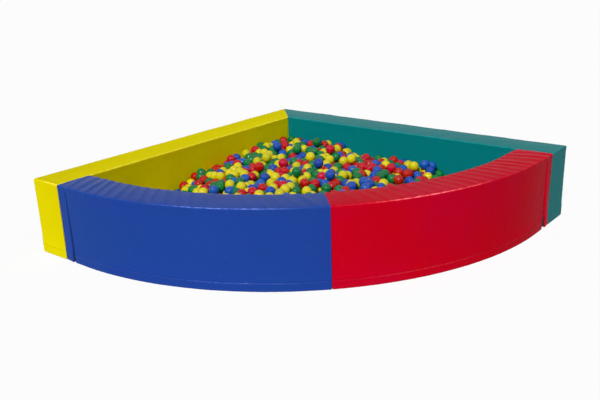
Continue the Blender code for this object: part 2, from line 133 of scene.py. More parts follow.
# Puckers across the tops: their lean over the wall's thickness, their height and their width
CURVE_PUCKERS = {"left": (-0.12, 0.0036, 0.0105), "right": (0.07, 0.0034, 0.0095)}
PUCKER_HEIGHTS = (0.65, 1.1)
PUCKER_LEANS = (0.8, 1.2)
PUCKER_WIDTHS = (0.85, 1.15)
PUCKER_TAIL = 2.6
PUCKER_FADE = 0.5
PUCKER_BEND = 0.012
FIRST_PUCKER = 0.055
PUCKER_MARGIN = 0.08
PUCKER_STEPS = (0.076, 0.098)
CREASE_HEIGHTS = {"left": 0.0002, "right": 0.0008}
CREASE_SHARES = (0.3, 1.1)
CREASE_WIDTH = 0.013
CREASE_LEAN = 0.06
CREASE_BEND = 0.03
FIRST_CREASE = 0.30
CREASE_MARGIN = 0.10
CREASE_STEPS = (0.07, 0.16)

# Painted highlights on the sewn edges: how wide, and how much of the full painted highlight each kind of edge
# gets
HIGHLIGHT_SPREAD = 0.55
FACES_UP = 0.2
HIGHLIGHT_MIDDLE = 1.20
HIGHLIGHT_REACH = 0.40
HIGHLIGHT_EDGE = 1.25
STRAIGHT_HIGHLIGHTS = (0.10, 0.36)
CURVE_LEAST_HIGHLIGHT = 0.12
RIM_LEAST_HIGHLIGHT = 0.25

# Foam
FOAM_INSET = 0.0072
FOAM_ROUND = 0.009
SAW_CUT = 0.0005
SAW_MARKS = ((0.0004, 0.16), (0.0001, 0.05))
FOAM_STEP = 0.022

# How finely the covers are cut
ACROSS_STEP = 0.014
HOOD_STEP = 0.0085
CURVED_HOOD_STEP = 0.0062
TRAY_STEP = 0.012
PAD_STEP = 0.006
LOW_STEP = 0.024
LEVEL_STEP = 0.012
LOW_START = 0.09
UPPER_START = 0.405
HEM_CUTS = np.array((0, 0.004, 0.008, 0.011, 0.0135, 0.017))
SOLE_LEVELS = (0.009, 0.0125, 0.015, FOOT_SEAM, 0.019, 0.0215, 0.028)
RIM_LEVELS = (0.037, 0.041, 0.044, 0.047, 0.050, 0.053, 0.055)

# Zips
ZIP_MARGIN = 0.18
ZIP_SLOT_HALF = 0.004
ZIP_SLOT_RAMP = 0.010
ZIP_SLOT_REACH = 0.022
CURVE_STEPS = 24
CURVE_ZIP_STEPS = (5, 19)
ZIP_TAPE_HEIGHT = 0.026
ZIP_TAPE_THICKNESS = 0.0006
ZIP_TAPE_STEP = 0.012
ZIP_TAPE_LEVELS = np.array((0.0, 0.0027, 0.0036, 0.0045, 0.010, ZIP_TAPE_HEIGHT / 2))
CORD_OFF = 0.0036
CORD_WIDTH = 0.0007
CORD_PROUD = 0.0008
TEETH_MARGIN = 0.004
TOOTH_PITCH = 0.0030
TOOTH_HEIGHT = 0.0028
TOOTH_LENGTH = 0.0016
TOOTH_PROUD = 0.0010
TOOTH_HOOK = 0.30
TOOTH_TIP = 0.72
TOOTH_NECK = ((-0.5, -1.0), (0.5, -1.0), (0.5, 0.15))
TOOTH_HEAD = ((0.85, 0.45), (0.7, 1.0), (-0.7, 1.0), (-0.85, 0.45), (-0.5, 0.15))
SLIDER_REST = 0.020
SLIDER_GAP = 0.0006
SLIDER_THICKNESS = 0.0045
SLIDER_LENGTH = 0.016
SLIDER_NOSE = 0.013
SLIDER_TAIL = 0.009
SLIDER_CORNER = 0.0015
SLIDER_WEAR = 0.00025
BRIDGE_WIDTH = 0.0022
TAB_WIDTH = 0.006
TAB_LENGTH = 0.016
PROBE = 0.01

# The slider's round ends: the nose's first and last turn in degrees, and points in an arc
NOSE_TURNS = (100, 260)
ARC_POINTS = 13
NECK_POINTS = 9

# Levels of the slider's parts, as shares of its thickness
PLATE_LEVELS = (0, 0.36)
FLANK_LEVELS = (0.30, 0.44)
BRIDGE_LEVEL = 0.34
BRIDGE_RISE = 0.52
TAB_LEVELS = (0.56, 0.82)

# Places on the slider, as shares of half its length or of half the nose's, tail's or tab's width
NOSE_MIDDLE = 0.7
WAIST = (0.4, 1.02)
FLANK_RUN = (-0.75, 0.85)
FLANK_SIDES = (0.72, 0.98)
BRIDGE_RUN = 0.62
BRIDGE_INSIDE = (0.78, 0.62)
TAB_TOP = 1.8
TAB_NECK = 0.8
HOLE_MIDDLE = 1.1
HOLE_RADIUS = 0.48

# Floor mats and balls
MAT_HEIGHT = 0.025
MAT_ROUND = 0.004
MAT_GAP = 0.0006
MAT_MIDDLE_INSET = 0.2
MAT_CUTS = {"wall": 80, "lead": 9, "arc": 60, "middle line": 90}
MAT_EDGE_CUTS = 9
MAT_SOLE_SHARES = (0.02, 0.3, 0.6, 0.85, 0.97)
MAT_TOP_SHARES = (0.985, 0.96, 0.92, 0.86, 0.78, 0.68, 0.56, 0.44, 0.32, 0.2, 0.1, 0.02)
MAT_SEAM_SHARE = 0.96
MAT_SEAM_WIDTH = 0.02
MAT_SEAM_DEPTH = 0.0006
MAT_SWELL = 0.0006
MAT_SWELL_LENGTH = 0.3
MAT_CROWN = 0.0009
MAT_DROP = 0.0003
BALL_DIAMETER = 0.070
BALL_RADIUS = BALL_DIAMETER / 2
MAT_TOP = MAT_HEIGHT + 2 * TOUCH_GAP
HEAP_HEIGHT = 0.330
HEAP_SIDE_DROP = 0.170
HEAP_FRONT_DROP = 0.060
SWELL_SPREAD = 0.155
HEAP_FLAT_HALF_WIDTH = 0.42
HEAP_FOOT_HALF_WIDTH = 1.30
HEAP_FLAT_REACH = 1.85
HEAP_FOOT_REACH = 2.40
HEAP_CLEARANCE = 0.020
HEAP_BALLS = 3300
BALL_SHIFT = 0.017
BALL_RISE = 0.018
BALL_SINK = 0.046
SUNK_SHARE = 0.15
SWELL_SHARES = ((0.228, 0.148, -0.27), (0.372, 0.0, 0.25), (-0.248, 0.128, -0.11))
LAYER_ROUNDS = 80
SEAT_REACH = 1.1

# How the lower balls are poured, pushed apart and let sink
POUR_ROUNDS = (60, 60)
POUR_LEVELS = (0.06, 0.36)
LID_REACH = 0.8
LID_DROP = 0.7
PAIR_REACH = 1.3
PAIR_TURNS = 6
PAIR_BATCH = 500
PUSHES = 4
SINKING = 0.0012
LEAST_GAP = 1e-6
WALL_CLEARANCE = 0.001
ZIP_LEVEL = 0.13
ZIP_CLEARANCE = 0.012
CURVE_CLEARANCE = 0.002

# Which lower balls show, how finely balls are cut, and how far out of round they are
SHADE_REACH = 1.15
SHADE_START = 0.25
HIDDEN_FROM = 1.3
TOP_CUTS = 6
LOWER_CUTS = 4
LOOSE_CUTS = 14
SQUEEZE = 0.006
LEAST_SQUEEZE = 0.985

# Floor, light and camera; a lamp has an azimuth and a height, a width as seen and a strength
FLOOR_SIZE = 40
FLOOR_GLOW = 0.90
AMBIENT = 0.13
LAMPS = {"key": (-27, 40, 8, 0.98), "fill": (50, 42, 8, 0.08)}
CAMERA_PLACE = (-0.5592, -5.1276, 1.8185)
CAMERA_TURNS = (5.931, 18.516, -1.940)
LENS = 44.80
SENSOR_WIDTH = 36

# Worked out from the sizes above
HALF_ROOT = math.sqrt(0.5)
EIGHTH_TURN = math.pi / 4
PAD_START = WALL_THICKNESS + JOINT_GAP
CURVE_START = PAD_START + PAD_THICKNESS + TOUCH_GAP
LEAD = CURVE_CENTRE - CURVE_START
MITRE_START = JOINT_GAP / 2 / HALF_ROOT
CORNER_Y = (2 * CURVE_CENTRE * HALF_ROOT + CURVE_RADIUS) / 2
NOTCH_HEIGHT = WALL_HEIGHT - NOTCH_DROP
STRAIGHT_LENGTH = WALL_LENGTH - MITRE_START
CURVE_LENGTH = LEAD + CURVE_RADIUS * EIGHTH_TURN
CURVE_STEP = CURVE_RADIUS * EIGHTH_TURN / CURVE_STEPS
BODY_START = PAD_THICKNESS + NOTCH_WIDTH
ROW_PITCH = BALL_DIAMETER * math.sqrt(3) / 2
CELL_RADIUS = BALL_DIAMETER / math.sqrt(3)

SIDES = ("left", "right")
ROUND_TURNS = np.radians((0, 12, 22, 30, 36, 41, 45))
NOTCH_TURNS = np.radians((0, 20, 34, 45))
SHARP_TURNS = {"teeth": math.radians(40), "slider": math.radians(35), "touch tape": math.radians(50)}
WAVE_COUNT = 7
WAVE_HEIGHT = 3.2
WAVE_PACES = (0.6, 1.5)
TINY = 1e-9
SEEDS = {
    "puckers": 20,
    "creases": 30,
    "straight hood": 50,
    "tray": 70,
    "curved hood": 90,
    "foam": 110,
    "touch tape": 130,
    "mat": 150,
    "top layer": 5,
    "pour": 20,
    "mixed colours": 21,
    "heap": 160,
    "loose balls": 210,
}


def srgb(red, green, blue):
    """A colour as it looks in a picture, turned into the linear values that shaders take."""
    shares = (red / 255, green / 255, blue / 255)
    return (*(c / 12.92 if c <= 0.04045 else ((c + 0.055) / 1.055) ** 2.4 for c in shares), 1)


WHITE = (1, 1, 1, 1)
DUST = (0.62, 0.60, 0.57, 1)
YELLOW = srgb(229, 214, 2)
GREEN = srgb(4, 123, 126)
BLUE = srgb(30, 66, 153)
RED = srgb(198, 0, 36)
MAT_BLUE = srgb(38, 74, 150)
FOAM_CREAM = srgb(226, 219, 196)
ZIP_BLACK = srgb(26, 26, 28)
TAPE_BLACK = srgb(22, 22, 24)
ZINC = srgb(196, 197, 200)
FLOOR_WHITE = srgb(244, 244, 244)
FLOOR_BOUNCE = srgb(188, 188, 188)
# Painted shade in the wedges
SHADE_SHEET_BLACK = srgb(14, 12, 16)
COVER_FINISHES = {
    "wall": {"left": "yellow_vinyl", "right": "green_vinyl"},
    "curve": {"left": "blue_vinyl", "right": "red_vinyl"},
}
BALL_COLOURS = {
    "yellow": srgb(206, 194, 6),
    "red": srgb(184, 3, 24),
    "green": srgb(2, 112, 54),
    "blue": srgb(22, 76, 170),
}
BALL_SHARES = {"yellow": 0.29, "red": 0.26, "green": 0.24, "blue": 0.21}


# Shader nodes

def feed(tree, node, feeds):
    """Gives each named input of a node a value or another node's output."""
    for name, value in dict(feeds).items():
        if isinstance(value, bpy.types.NodeSocket):
            tree.links.new(value, node.inputs[name])
        else:
            node.inputs[name].default_value = value


def put(tree, kind, feeds=(), **settings):
    """Adds a node, with its settings first, because they can change its inputs."""
    made = tree.nodes.new(kind)
    for name, value in settings.items():
        setattr(made, name, value)
    feed(tree, made, feeds)
    return made


def new_group(name, inputs, outputs):
    """An empty node group with named sockets; gives its start's sockets and its end node too."""
    group = bpy.data.node_groups.new(name, "ShaderNodeTree")
    kinds = {label: "Color" if label == "Color" else "Float" for label in (*inputs, *outputs)}
    for label, value in inputs.items():
        socket = group.interface.new_socket(label, in_out="INPUT", socket_type=f"NodeSocket{kinds[label]}")
        socket.default_value = value
    for label in outputs:
        group.interface.new_socket(label, in_out="OUTPUT", socket_type=f"NodeSocket{kinds[label]}")
    return group, group.nodes.new("NodeGroupInput").outputs, group.nodes.new("NodeGroupOutput")


def mix_colour(tree, factor, first, second, blend="MIX"):
    """The output of a colour mix node, whose colour sockets have only numbers to tell them apart."""
    feeds = {0: factor, 6: first, 7: second}
    return put(tree, "ShaderNodeMix", feeds, data_type="RGBA", blend_type=blend).outputs[2]


def maths(tree, operation, *values):
    """The output of a maths node."""
    return put(tree, "ShaderNodeMath", dict(enumerate(values)), operation=operation).outputs[0]


def spread(tree, value, low, high, to_low=0.0, to_high=1.0):
    """The output of a map range node, held between its ends."""
    feeds = {"Value": value, "From Min": low, "From Max": high, "To Min": to_low, "To Max": to_high}
    return put(tree, "ShaderNodeMapRange", feeds).outputs["Result"]


def own_place(tree):
    """The place on the piece, in its own metres."""
    return put(tree, "ShaderNodeTexCoord").outputs["Object"]


def own_axes(tree, place):
    """The three numbers of a place or way."""
    return put(tree, "ShaderNodeSeparateXYZ", {"Vector": place}).outputs


def noise(tree, scale, detail):
    """The output of a noise texture in the piece's own metres."""
    feeds = {"Vector": own_place(tree), "Scale": scale, "Detail": detail}
    return put(tree, "ShaderNodeTexNoise", feeds).outputs["Fac"]


def painted(tree, name, output="Fac"):
    """What a mesh carries on its points under this name."""
    return put(tree, "ShaderNodeAttribute", attribute_name=name).outputs[output]


def tinted(tree, **feeds):
    """A colour with its hue, saturation or value changed."""
    return put(tree, "ShaderNodeHueSaturation", feeds).outputs["Color"]


def colour_drift_group():
    """Slow changes of shade and hue over a surface."""
    inputs = {"Color": WHITE, "Scale": 3.0, "Amount": 0.1}
    group, start, end = new_group("Colour drift", inputs, ("Color",))
    shift = maths(group, "SUBTRACT", noise(group, start["Scale"], 3.0), 0.5)
    value = maths(group, "MULTIPLY_ADD", shift, start["Amount"], 1.0)
    hue = maths(group, "MULTIPLY_ADD", shift, maths(group, "MULTIPLY", start["Amount"], 0.12), 0.5)
    feed(group, end, {"Color": tinted(group, Hue=hue, Value=value, Color=start["Color"])})
    return group


def vinyl_grain_group():
    """The fine leather-like grain pressed into coated cloth."""
    group, start, end = new_group("Vinyl grain", {"Scale": 900.0, "Pebble": 0.6}, ("Height",))
    feeds = {"Vector": own_place(group), "Scale": start["Scale"]}
    cells = put(group, "ShaderNodeTexVoronoi", feeds, feature="SMOOTH_F1").outputs["Distance"]
    rise = maths(group, "MULTIPLY", cells, start["Pebble"])
    soft = noise(group, maths(group, "MULTIPLY", start["Scale"], 0.4), 3.0)
    feed(group, end, {"Height": maths(group, "ADD", rise, soft)})
    return group


def scuff_group():
    """Pale rubs and a little dust near the floor, with the roughness that they bring."""
    inputs = {"Color": WHITE, "Roughness": 0.3, "Dust height": 0.05, "Amount": 0.2}
    group, start, end = new_group("Scuffs and dust", inputs, ("Color", "Roughness"))
    rubs = spread(group, noise(group, 26.0, 5.0), 0.60, 0.72)
    low = spread(group, own_axes(group, own_place(group))["Z"], 0.0, start["Dust height"], 1.0, 0.0)
    dust = maths(group, "MULTIPLY", low, spread(group, noise(group, 60.0, 6.0), 0.35, 0.75))
    mask = maths(group, "MULTIPLY", maths(group, "MAXIMUM", rubs, dust), start["Amount"])
    rougher = maths(group, "MULTIPLY_ADD", mask, 0.6, start["Roughness"])
    uneven = spread(group, noise(group, 14.0, 4.0), 0.3, 0.7, -0.035, 0.035)
    paler = mix_colour(group, mask, start["Color"], DUST)
    feed(group, end, {"Color": paler, "Roughness": maths(group, "ADD", rougher, uneven)})
    return group


def edge_highlight_group():
    """Painted highlight on the sewn edges: lighter and paler in small patches, with a glossier coat there."""
    inputs = {"Color": WHITE, "Lighter": 1.0, "Paler": 0.15, "Coat": 0.03, "Polish": 0.3}
    group, start, end = new_group("Edge painted highlight", inputs, ("Color", "Coat"))
    patches = spread(group, noise(group, 38.0, 2.0), 0.36, 0.62, 0.35, 1.15)
    patchy = maths(group, "MULTIPLY", painted(group, "highlight_and_polish"), patches)
    value = maths(group, "MULTIPLY_ADD", patchy, start["Lighter"], 1.0)
    saturation = maths(group, "SUBTRACT", 1.0, maths(group, "MULTIPLY", patchy, start["Paler"]))
    shaded = tinted(group, Saturation=saturation, Value=value, Color=start["Color"])
    coat = maths(group, "MULTIPLY_ADD", patchy, start["Polish"], start["Coat"])
    feed(group, end, {"Color": shaded, "Coat": coat})
    return group


def ball_marks_group():
    """The moulding line round a ball and the plug at its pole, from the ball's own direction."""
    group, start, end = new_group("Ball marks", {"Line width": 0.02, "Plug width": 0.09}, ("Height", "Tint"))
    off = maths(group, "ABSOLUTE", own_axes(group, painted(group, "own_way", "Vector"))["Z"])
    line = spread(group, off, 0.0, start["Line width"], 1.0, 0.0)
    from_pole = maths(group, "SQRT", maths(group, "MAXIMUM", maths(group, "SUBTRACT", 1.0, off), 0.0))
    ring = maths(group, "ABSOLUTE", maths(group, "SUBTRACT", from_pole, start["Plug width"]))
    height = maths(group, "SUBTRACT", line, spread(group, ring, 0.0, 0.016, 1.0, 0.0))
    feed(group, end, {"Height": height, "Tint": painted(group, "tint")})
    return group


def weave_group():
    """Plain weave, as threads over and under, in the piece's own metres."""
    group, start, end = new_group("Weave", {"Thread": 2200.0}, ("Height",))
    axes = own_axes(group, own_place(group))

    def threads(along):
        return maths(group, "SINE", maths(group, "MULTIPLY", along, start["Thread"]))

    warp, weft = threads(maths(group, "ADD", axes["X"], axes["Y"])), threads(axes["Z"])
    crossings = maths(group, "MULTIPLY", warp, weft)
    feed(group, end, {"Height": maths(group, "MULTIPLY_ADD", crossings, 0.5, 0.5)})
    return group


GROUPS = {
    "drift": colour_drift_group(),
    "grain": vinyl_grain_group(),
    "scuffs": scuff_group(),
    "highlight_and_polish": edge_highlight_group(),
    "ball": ball_marks_group(),
    "weave": weave_group(),
}


def effect(tree, which, feeds):
    """A group placed in a material with its own values; gives its outputs."""
    return put(tree, "ShaderNodeGroup", feeds, node_tree=GROUPS[which]).outputs


def drifting(tree, colour, scale, amount):
    """A colour that drifts slowly over the piece."""
    return effect(tree, "drift", {"Color": colour, "Scale": scale, "Amount": amount})["Color"]


def grain_height(tree, scale, pebble):
    """The height of a fine grain."""
    return effect(tree, "grain", {"Scale": scale, "Pebble": pebble})["Height"]


def new_material(name, **constants):
    """A material with its shader's constant values set; gives its tree and shader too."""
    material = bpy.data.materials.new(name)
    material.use_nodes = True
    shader = material.node_tree.nodes["Principled BSDF"]
    feed(material.node_tree, shader, {label.replace("_", " "): value for label, value in constants.items()})
    return material, material.node_tree, shader


def bump(tree, shader, *layers):
    """Stacks bump layers, each a height with its depth in metres, onto the shader's normal."""
    feeds = {}
    for height, distance in layers:
        feeds.update({"Height": height, "Distance": distance, "Strength": 1.0})
        feeds["Normal"] = put(tree, "ShaderNodeBump", feeds).outputs["Normal"]
    feed(tree, shader, {"Normal": feeds["Normal"]})


def relief(name, drift, grain, depth, grain_shade_tones, **constants):
    """Cloth or foam darkened in the grain's hollows as painted shade, and lightened on its raised parts as
    painted light where the tones go above one; the tones give two heights, then how bright they look.
    """
    material, tree, shader = new_material(name, **constants)
    height = grain(tree)
    shade = mix_colour(tree, 1.0, drifting(tree, **drift), spread(tree, height, *grain_shade_tones), "MULTIPLY")
    feed(tree, shader, {"Base Color": shade})
    bump(tree, shader, (height, depth))
    return material


def vinyl(name, colour, gloss=0.015, coat=0.05):
    """Coated cloth: saturated, smooth, finely grained, with painted highlights along the sewn edges, pale
    rubs and a little dust at the foot.
    """
    material, tree, shader = new_material(name, Specular_IOR_Level=gloss, Coat_Roughness=0.11)
    base = drifting(tree, colour, scale=2.2, amount=0.10)
    # Painted highlight along the sewn edges: lighter and paler there, with a glossier coat.
    highlight_and_polish = effect(tree, "highlight_and_polish", {"Color": base, "Lighter": 1.5, "Paler": 0.20, "Coat": coat, "Polish": 0.45})
    feeds = {"Color": highlight_and_polish["Color"], "Roughness": 0.30, "Dust height": 0.045, "Amount": 0.007}
    scuffs = effect(tree, "scuffs", feeds)
    feed(tree, shader, {"Base Color": scuffs["Color"], "Roughness": scuffs["Roughness"]})
    feed(tree, shader, {"Coat Weight": highlight_and_polish["Coat"]})
    bump(tree, shader, (grain_height(tree, scale=850.0, pebble=0.7), 0.00006))
    return material


def foam_material():
    """Open-cell foam: cream, matt and full of pores."""
    def pores(tree):
        return grain_height(tree, scale=420.0, pebble=1.3)

    # Darker in the pores: painted shade.
    grain_shade_tones = (0.45, 1.1, 0.72, 1.0)
    drift = {"colour": FOAM_CREAM, "scale": 8.0, "amount": 0.16}
    return relief("cream_foam", drift, pores, 0.0006, grain_shade_tones, Specular_IOR_Level=0.1, Roughness=0.95)


def woven(name, colour, thread, depth):
    """Woven tape or cloth, for the zips and for the dark sheets that paint shade in the wedges."""
    def weave(tree):
        return effect(tree, "weave", {"Thread": thread})["Height"]

    # Darker where threads pass under: painted shade; lighter on the raised threads: painted light.
    grain_shade_tones = (0.0, 1.0, 0.6, 1.35)
    drift = {"colour": colour, "scale": 30.0, "amount": 0.3}
    return relief(name, drift, weave, depth, grain_shade_tones, Specular_IOR_Level=0.3, Roughness=0.8)


def pile_material(name, fineness):
    """The hooks or loops of touch tape, dull and bristly."""
    def pile(tree):
        return grain_height(tree, fineness, pebble=1.6)

    # Darker deep in the pile: painted shade; lighter on its tips: painted light.
    grain_shade_tones = (0.3, 1.4, 0.5, 1.9)
    drift = {"colour": TAPE_BLACK, "scale": 40.0, "amount": 0.6}
    return relief(name, drift, pile, 0.0007, grain_shade_tones, Specular_IOR_Level=0.2, Roughness=0.9)


def zinc_material():
    """The sliders' plated zinc, worn duller in patches."""
    material, tree, shader = new_material("plated_zinc", Metallic=1.0)
    wear_and_painted_highlight = spread(tree, noise(tree, 160.0, 4.0), 0.3, 0.7, 0.24, 0.46)
    colour = drifting(tree, ZINC, scale=90.0, amount=0.25)
    feed(tree, shader, {"Base Color": colour, "Roughness": wear_and_painted_highlight})
    bump(tree, shader, (grain_height(tree, scale=2500.0, pebble=0.4), 0.00005))
    return material


def ball_material(name, colour):
    """Thin moulded polythene: glossy, each ball a little lighter or darker than the next."""
    material, tree, shader = new_material(name, Specular_IOR_Level=0.0, Coat_Weight=0.50, Coat_Roughness=0.12)
    marks = effect(tree, "ball", {"Line width": 0.022, "Plug width": 0.11})
    value = spread(tree, marks["Tint"], 0.0, 1.0, 0.86, 1.10)
    hue = spread(tree, marks["Tint"], 0.0, 1.0, 0.508, 0.494)
    wear_and_painted_highlight = spread(tree, noise(tree, 45.0, 3.0), 0.3, 0.7, 0.16, 0.22)
    colour = drifting(tree, tinted(tree, Hue=hue, Value=value, Color=colour), scale=20.0, amount=0.08)
    feed(tree, shader, {"Base Color": colour, "Roughness": wear_and_painted_highlight})
    bump(tree, shader, (marks["Height"], 0.0003), (noise(tree, 30.0, 1.0), 0.0012))
    return material


# Grids of points on rounded blocks

def round_stops(radius, turns=ROUND_TURNS):
    """Distances from an edge at which the rounding is cut."""
    return radius * (1 - np.tan(turns))


def even_stops(low, high, step):
    return np.linspace(low, high, max(round((high - low) / step), 1) + 1)


def join_stops(*runs):
    return np.unique(np.round(np.concatenate([np.atleast_1d(run) for run in runs]), 6))


def skin_of(filled, open_level=None):
    """Quads between filled and empty cells of a grid, facing out; none across the open level."""
    shape = np.array(filled.shape) + 1
    numbers = np.arange(shape.prod()).reshape(shape)
    quads = []
    for axis in range(3):
        ids = np.moveaxis(numbers, axis, 0)
        cells = np.moveaxis(filled.astype(int), axis, 0)
        step = np.diff(np.pad(cells, ((1, 1), (0, 0), (0, 0))), axis=0)
        for change in (1, -1):
            plane, a, b = np.nonzero(step == change)
            if axis == 2 and open_level is not None:
                kept = plane != open_level
                plane, a, b = plane[kept], a[kept], b[kept]
            corners = [ids[plane, a, b], ids[plane, a + 1, b], ids[plane, a + 1, b + 1], ids[plane, a, b + 1]]
            if (change == 1) != (axis == 1):
                corners.reverse()
            quads.append(np.stack(corners, axis=1))
    used, quads = np.unique(np.concatenate(quads), return_inverse=True)
    return np.stack(np.unravel_index(used, shape), axis=1), quads.reshape(-1, 4)


def rounded(places, low, high, low_round, high_round):
    """Puts the points of a block's skin onto its rounded edges; gives the way that each faces too."""
    inner = np.clip(places, low + low_round, high - high_round)
    radius = np.where(places < inner, low_round, high_round)
    lean = np.where(radius > TINY, (places - inner) / np.maximum(radius, TINY), 0)
    way = lean / np.maximum(np.linalg.norm(lean, axis=1, keepdims=True), TINY)
    return inner + way * radius, way


def at_stops(index, stops):
    return np.stack([run[index[:, axis]] for axis, run in enumerate(stops)], axis=1)


def cells_of(stops):
    return np.ones([len(run) - 1 for run in stops], bool)


def block(stops, low_round=(0, 0, 0), high_round=(0, 0, 0), open_level=None):
    """Points, ways out and quads of one rounded block."""
    index, quads = skin_of(cells_of(stops), open_level)
    low = np.array([run[0] for run in stops])
    high = np.array([run[-1] for run in stops])
    spots, way = rounded(at_stops(index, stops), low, high, np.array(low_round), np.array(high_round))
    return spots, way, quads


def smooth(share):
    share = np.clip(share, 0, 1)
    return share * share * (3 - 2 * share)


def hill(off, width):
    """One where off is zero, falling smoothly away to both sides."""
    return np.exp(-((off / width) ** 2))


def waves(places, length, seed):
    """A smooth wandering value from about -1 to 1, whose swells are about length metres long."""
    random = np.random.default_rng(seed)
    total = np.zeros(len(places))
    for _ in range(WAVE_COUNT):
        way = random.normal(size=3)
        way *= random.uniform(*WAVE_PACES) * 2 * math.pi / length / np.linalg.norm(way)
        total += np.cos(places @ way + random.uniform(0, 2 * math.pi))
    return total / WAVE_HEIGHT


def uneven(level, places, swells, seed):
    """A level that wanders; swells gives how far it does so and over how many metres."""
    for turn, (size, length) in enumerate(swells):
        level = level + size * waves(places, length, seed + turn)
    return level


# Routes along the walls

def world(side, own, other, height):
    """The place own metres along this side's straight wall and other metres along the other one."""
    left, right = (own, other) if side == "left" else (other, own)
    height = np.broadcast_to(height, np.shape(left))
    return np.stack(((right - left) * HALF_ROOT, CORNER_Y - (left + right) * HALF_ROOT, height), axis=-1)


def straight_route(side, distance, across, height):
    """A straight wall, from the mitre at the back corner to its front end."""
    start = MITRE_START + across
    return start + distance * (WALL_LENGTH - start) / STRAIGHT_LENGTH, across


def curved_route(side, distance, across, height):
    """A curved wall, from the wedge beside its end pad, along a short lead and round the arc."""
    radius = CURVE_RADIUS - across
    start = CURVE_START + WEDGE_GAP * (1 - height / WALL_HEIGHT)
    start = start + GAP_OPEN[side] * smooth((NOTCH_HEIGHT - height) / GAP_OPEN_RUN)
    turn = np.maximum(distance - LEAD, 0) / CURVE_RADIUS
    back = JOINT_GAP / 2 * turn / EIGHTH_TURN * HALF_ROOT
    own = CURVE_CENTRE + radius * np.cos(turn) + back
    lead_other = start + np.minimum(distance / LEAD, 1) * (CURVE_CENTRE - start)
    return own, lead_other + radius * np.sin(turn) - back


def cover_route(side, distance, across, height):
    """A curved wall's whole cover: over the end pad, across the wedge and on along the curve."""
    drop = np.maximum(NOTCH_HEIGHT - height, 0) / NOTCH_HEIGHT
    splay_share = np.minimum(distance, PAD_THICKNESS) / PAD_THICKNESS
    pad_own = WALL_LENGTH - across + PAD_SPLAY * splay_share * drop * (1 - across / WALL_THICKNESS)
    pad_other = PAD_START + splay_share * (PAD_THICKNESS + PAD_FLARE[side] * drop)
    body_own, body_other = curved_route(side, np.maximum(distance - BODY_START, 0), across, height)
    share = np.clip((distance - PAD_THICKNESS) / NOTCH_WIDTH, 0, 1)
    return pad_own + share * (body_own - pad_own), pad_other + share * (body_other - pad_other)


def pad_route(side, distance, across, height):
    return WALL_LENGTH - across, PAD_START + distance


ROUTES = {"wall": straight_route, "curve": curved_route, "end_pad": pad_route}
LENGTHS = {"wall": STRAIGHT_LENGTH, "curve": CURVE_LENGTH, "end_pad": PAD_THICKNESS}


def place(side, route, spots):
    """Points of a piece in the model's frame."""
    own, other = route(side, *spots.T)
    return world(side, own, other, spots[:, 2])


# Meshes

def in_scene(name, data):
    """An object of its own for a mesh, a lamp or a camera."""
    piece = bpy.data.objects.new(name, data)
    bpy.context.scene.collection.objects.link(piece)
    return piece


def mesh_of(name, points, quads, material, attributes=()):
    """A smooth object from arrays of points and of quads."""
    mesh = bpy.data.meshes.new(name)
    mesh.vertices.add(len(points))
    mesh.vertices.foreach_set("co", np.asarray(points, np.float32).ravel())
    mesh.loops.add(quads.size)
    mesh.loops.foreach_set("vertex_index", np.asarray(quads, np.int32).ravel())
    mesh.polygons.add(len(quads))
    mesh.polygons.foreach_set("loop_start", np.arange(0, quads.size, quads.shape[1], dtype=np.int32))
    mesh.update(calc_edges=True)
    for label, kind, values in attributes:
        layer = mesh.attributes.new(label, kind, "POINT")
        key = "vector" if kind == "FLOAT_VECTOR" else "value"
        layer.data.foreach_set(key, np.asarray(values, np.float32).ravel())
    mesh.shade_smooth()
    mesh.materials.append(material)
    return in_scene(name, mesh)


def add_cloth_thickness(piece, thickness=VINYL):
    cloth = piece.modifiers.new("cloth", "SOLIDIFY")
    cloth.thickness = thickness
    cloth.offset = -1


def belongs(piece, body, slot, *nodes):
    """Says which body a piece moves with and the CAD nodes that it stands for; its slot argument is not used.
    """
    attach(piece, body)
    if nodes:
        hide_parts(*nodes)
    return piece


def facing(side, quads):
    """Quads as they must turn after the route, which mirrors the right side."""
    return quads if side == "left" else quads[:, ::-1]


# Covers

def edge_evenness(way):
    """One where a point faces evenly out of two faces, as on a sewn edge, and zero on a flat face."""
    sides = np.sort(np.abs(way), axis=1)
    return sides[:, 1] / np.maximum(sides[:, 2], TINY)


def edge_bead(way, places, seed):
    """The sewn edge: a low bead wherever two faces meet, uneven where the thread pulls."""
    return BEAD_PROUD * hill(1 - edge_evenness(way), BEAD_SPREAD) * uneven(1, places, THREAD_PULLS, seed)


def puckers(along, across, ridges):
    """Ridges that run across the top where the cover is gathered to the foam's shape."""
    total = np.zeros(len(along))
    side = across / WALL_THICKNESS - 0.5
    for middle, height, slant, bend, width in ridges:
        off = along - middle - slant * side - bend * side**2
        total += height * hill(off, np.where(off < 0, PUCKER_TAIL * width, width))
    return total


def curve_ridges(side):
    """Puckers of a curved cover, strongest by the end pad and faint by the front seam."""
    random = np.random.default_rng(SEEDS["puckers"] + (side == "right"))
    slant, size, width = CURVE_PUCKERS[side]
    ridges = []
    middle = FIRST_PUCKER
    while middle < BODY_START + CURVE_LENGTH - PUCKER_MARGIN:
        height = size * (1 - PUCKER_FADE * middle / CURVE_LENGTH) * random.uniform(*PUCKER_HEIGHTS)
        lean = slant * random.uniform(*PUCKER_LEANS)
        bend = random.uniform(-PUCKER_BEND, PUCKER_BEND)
        ridges.append((middle, height, lean, bend, width * random.uniform(*PUCKER_WIDTHS)))
        middle += random.uniform(*PUCKER_STEPS)
    return ridges


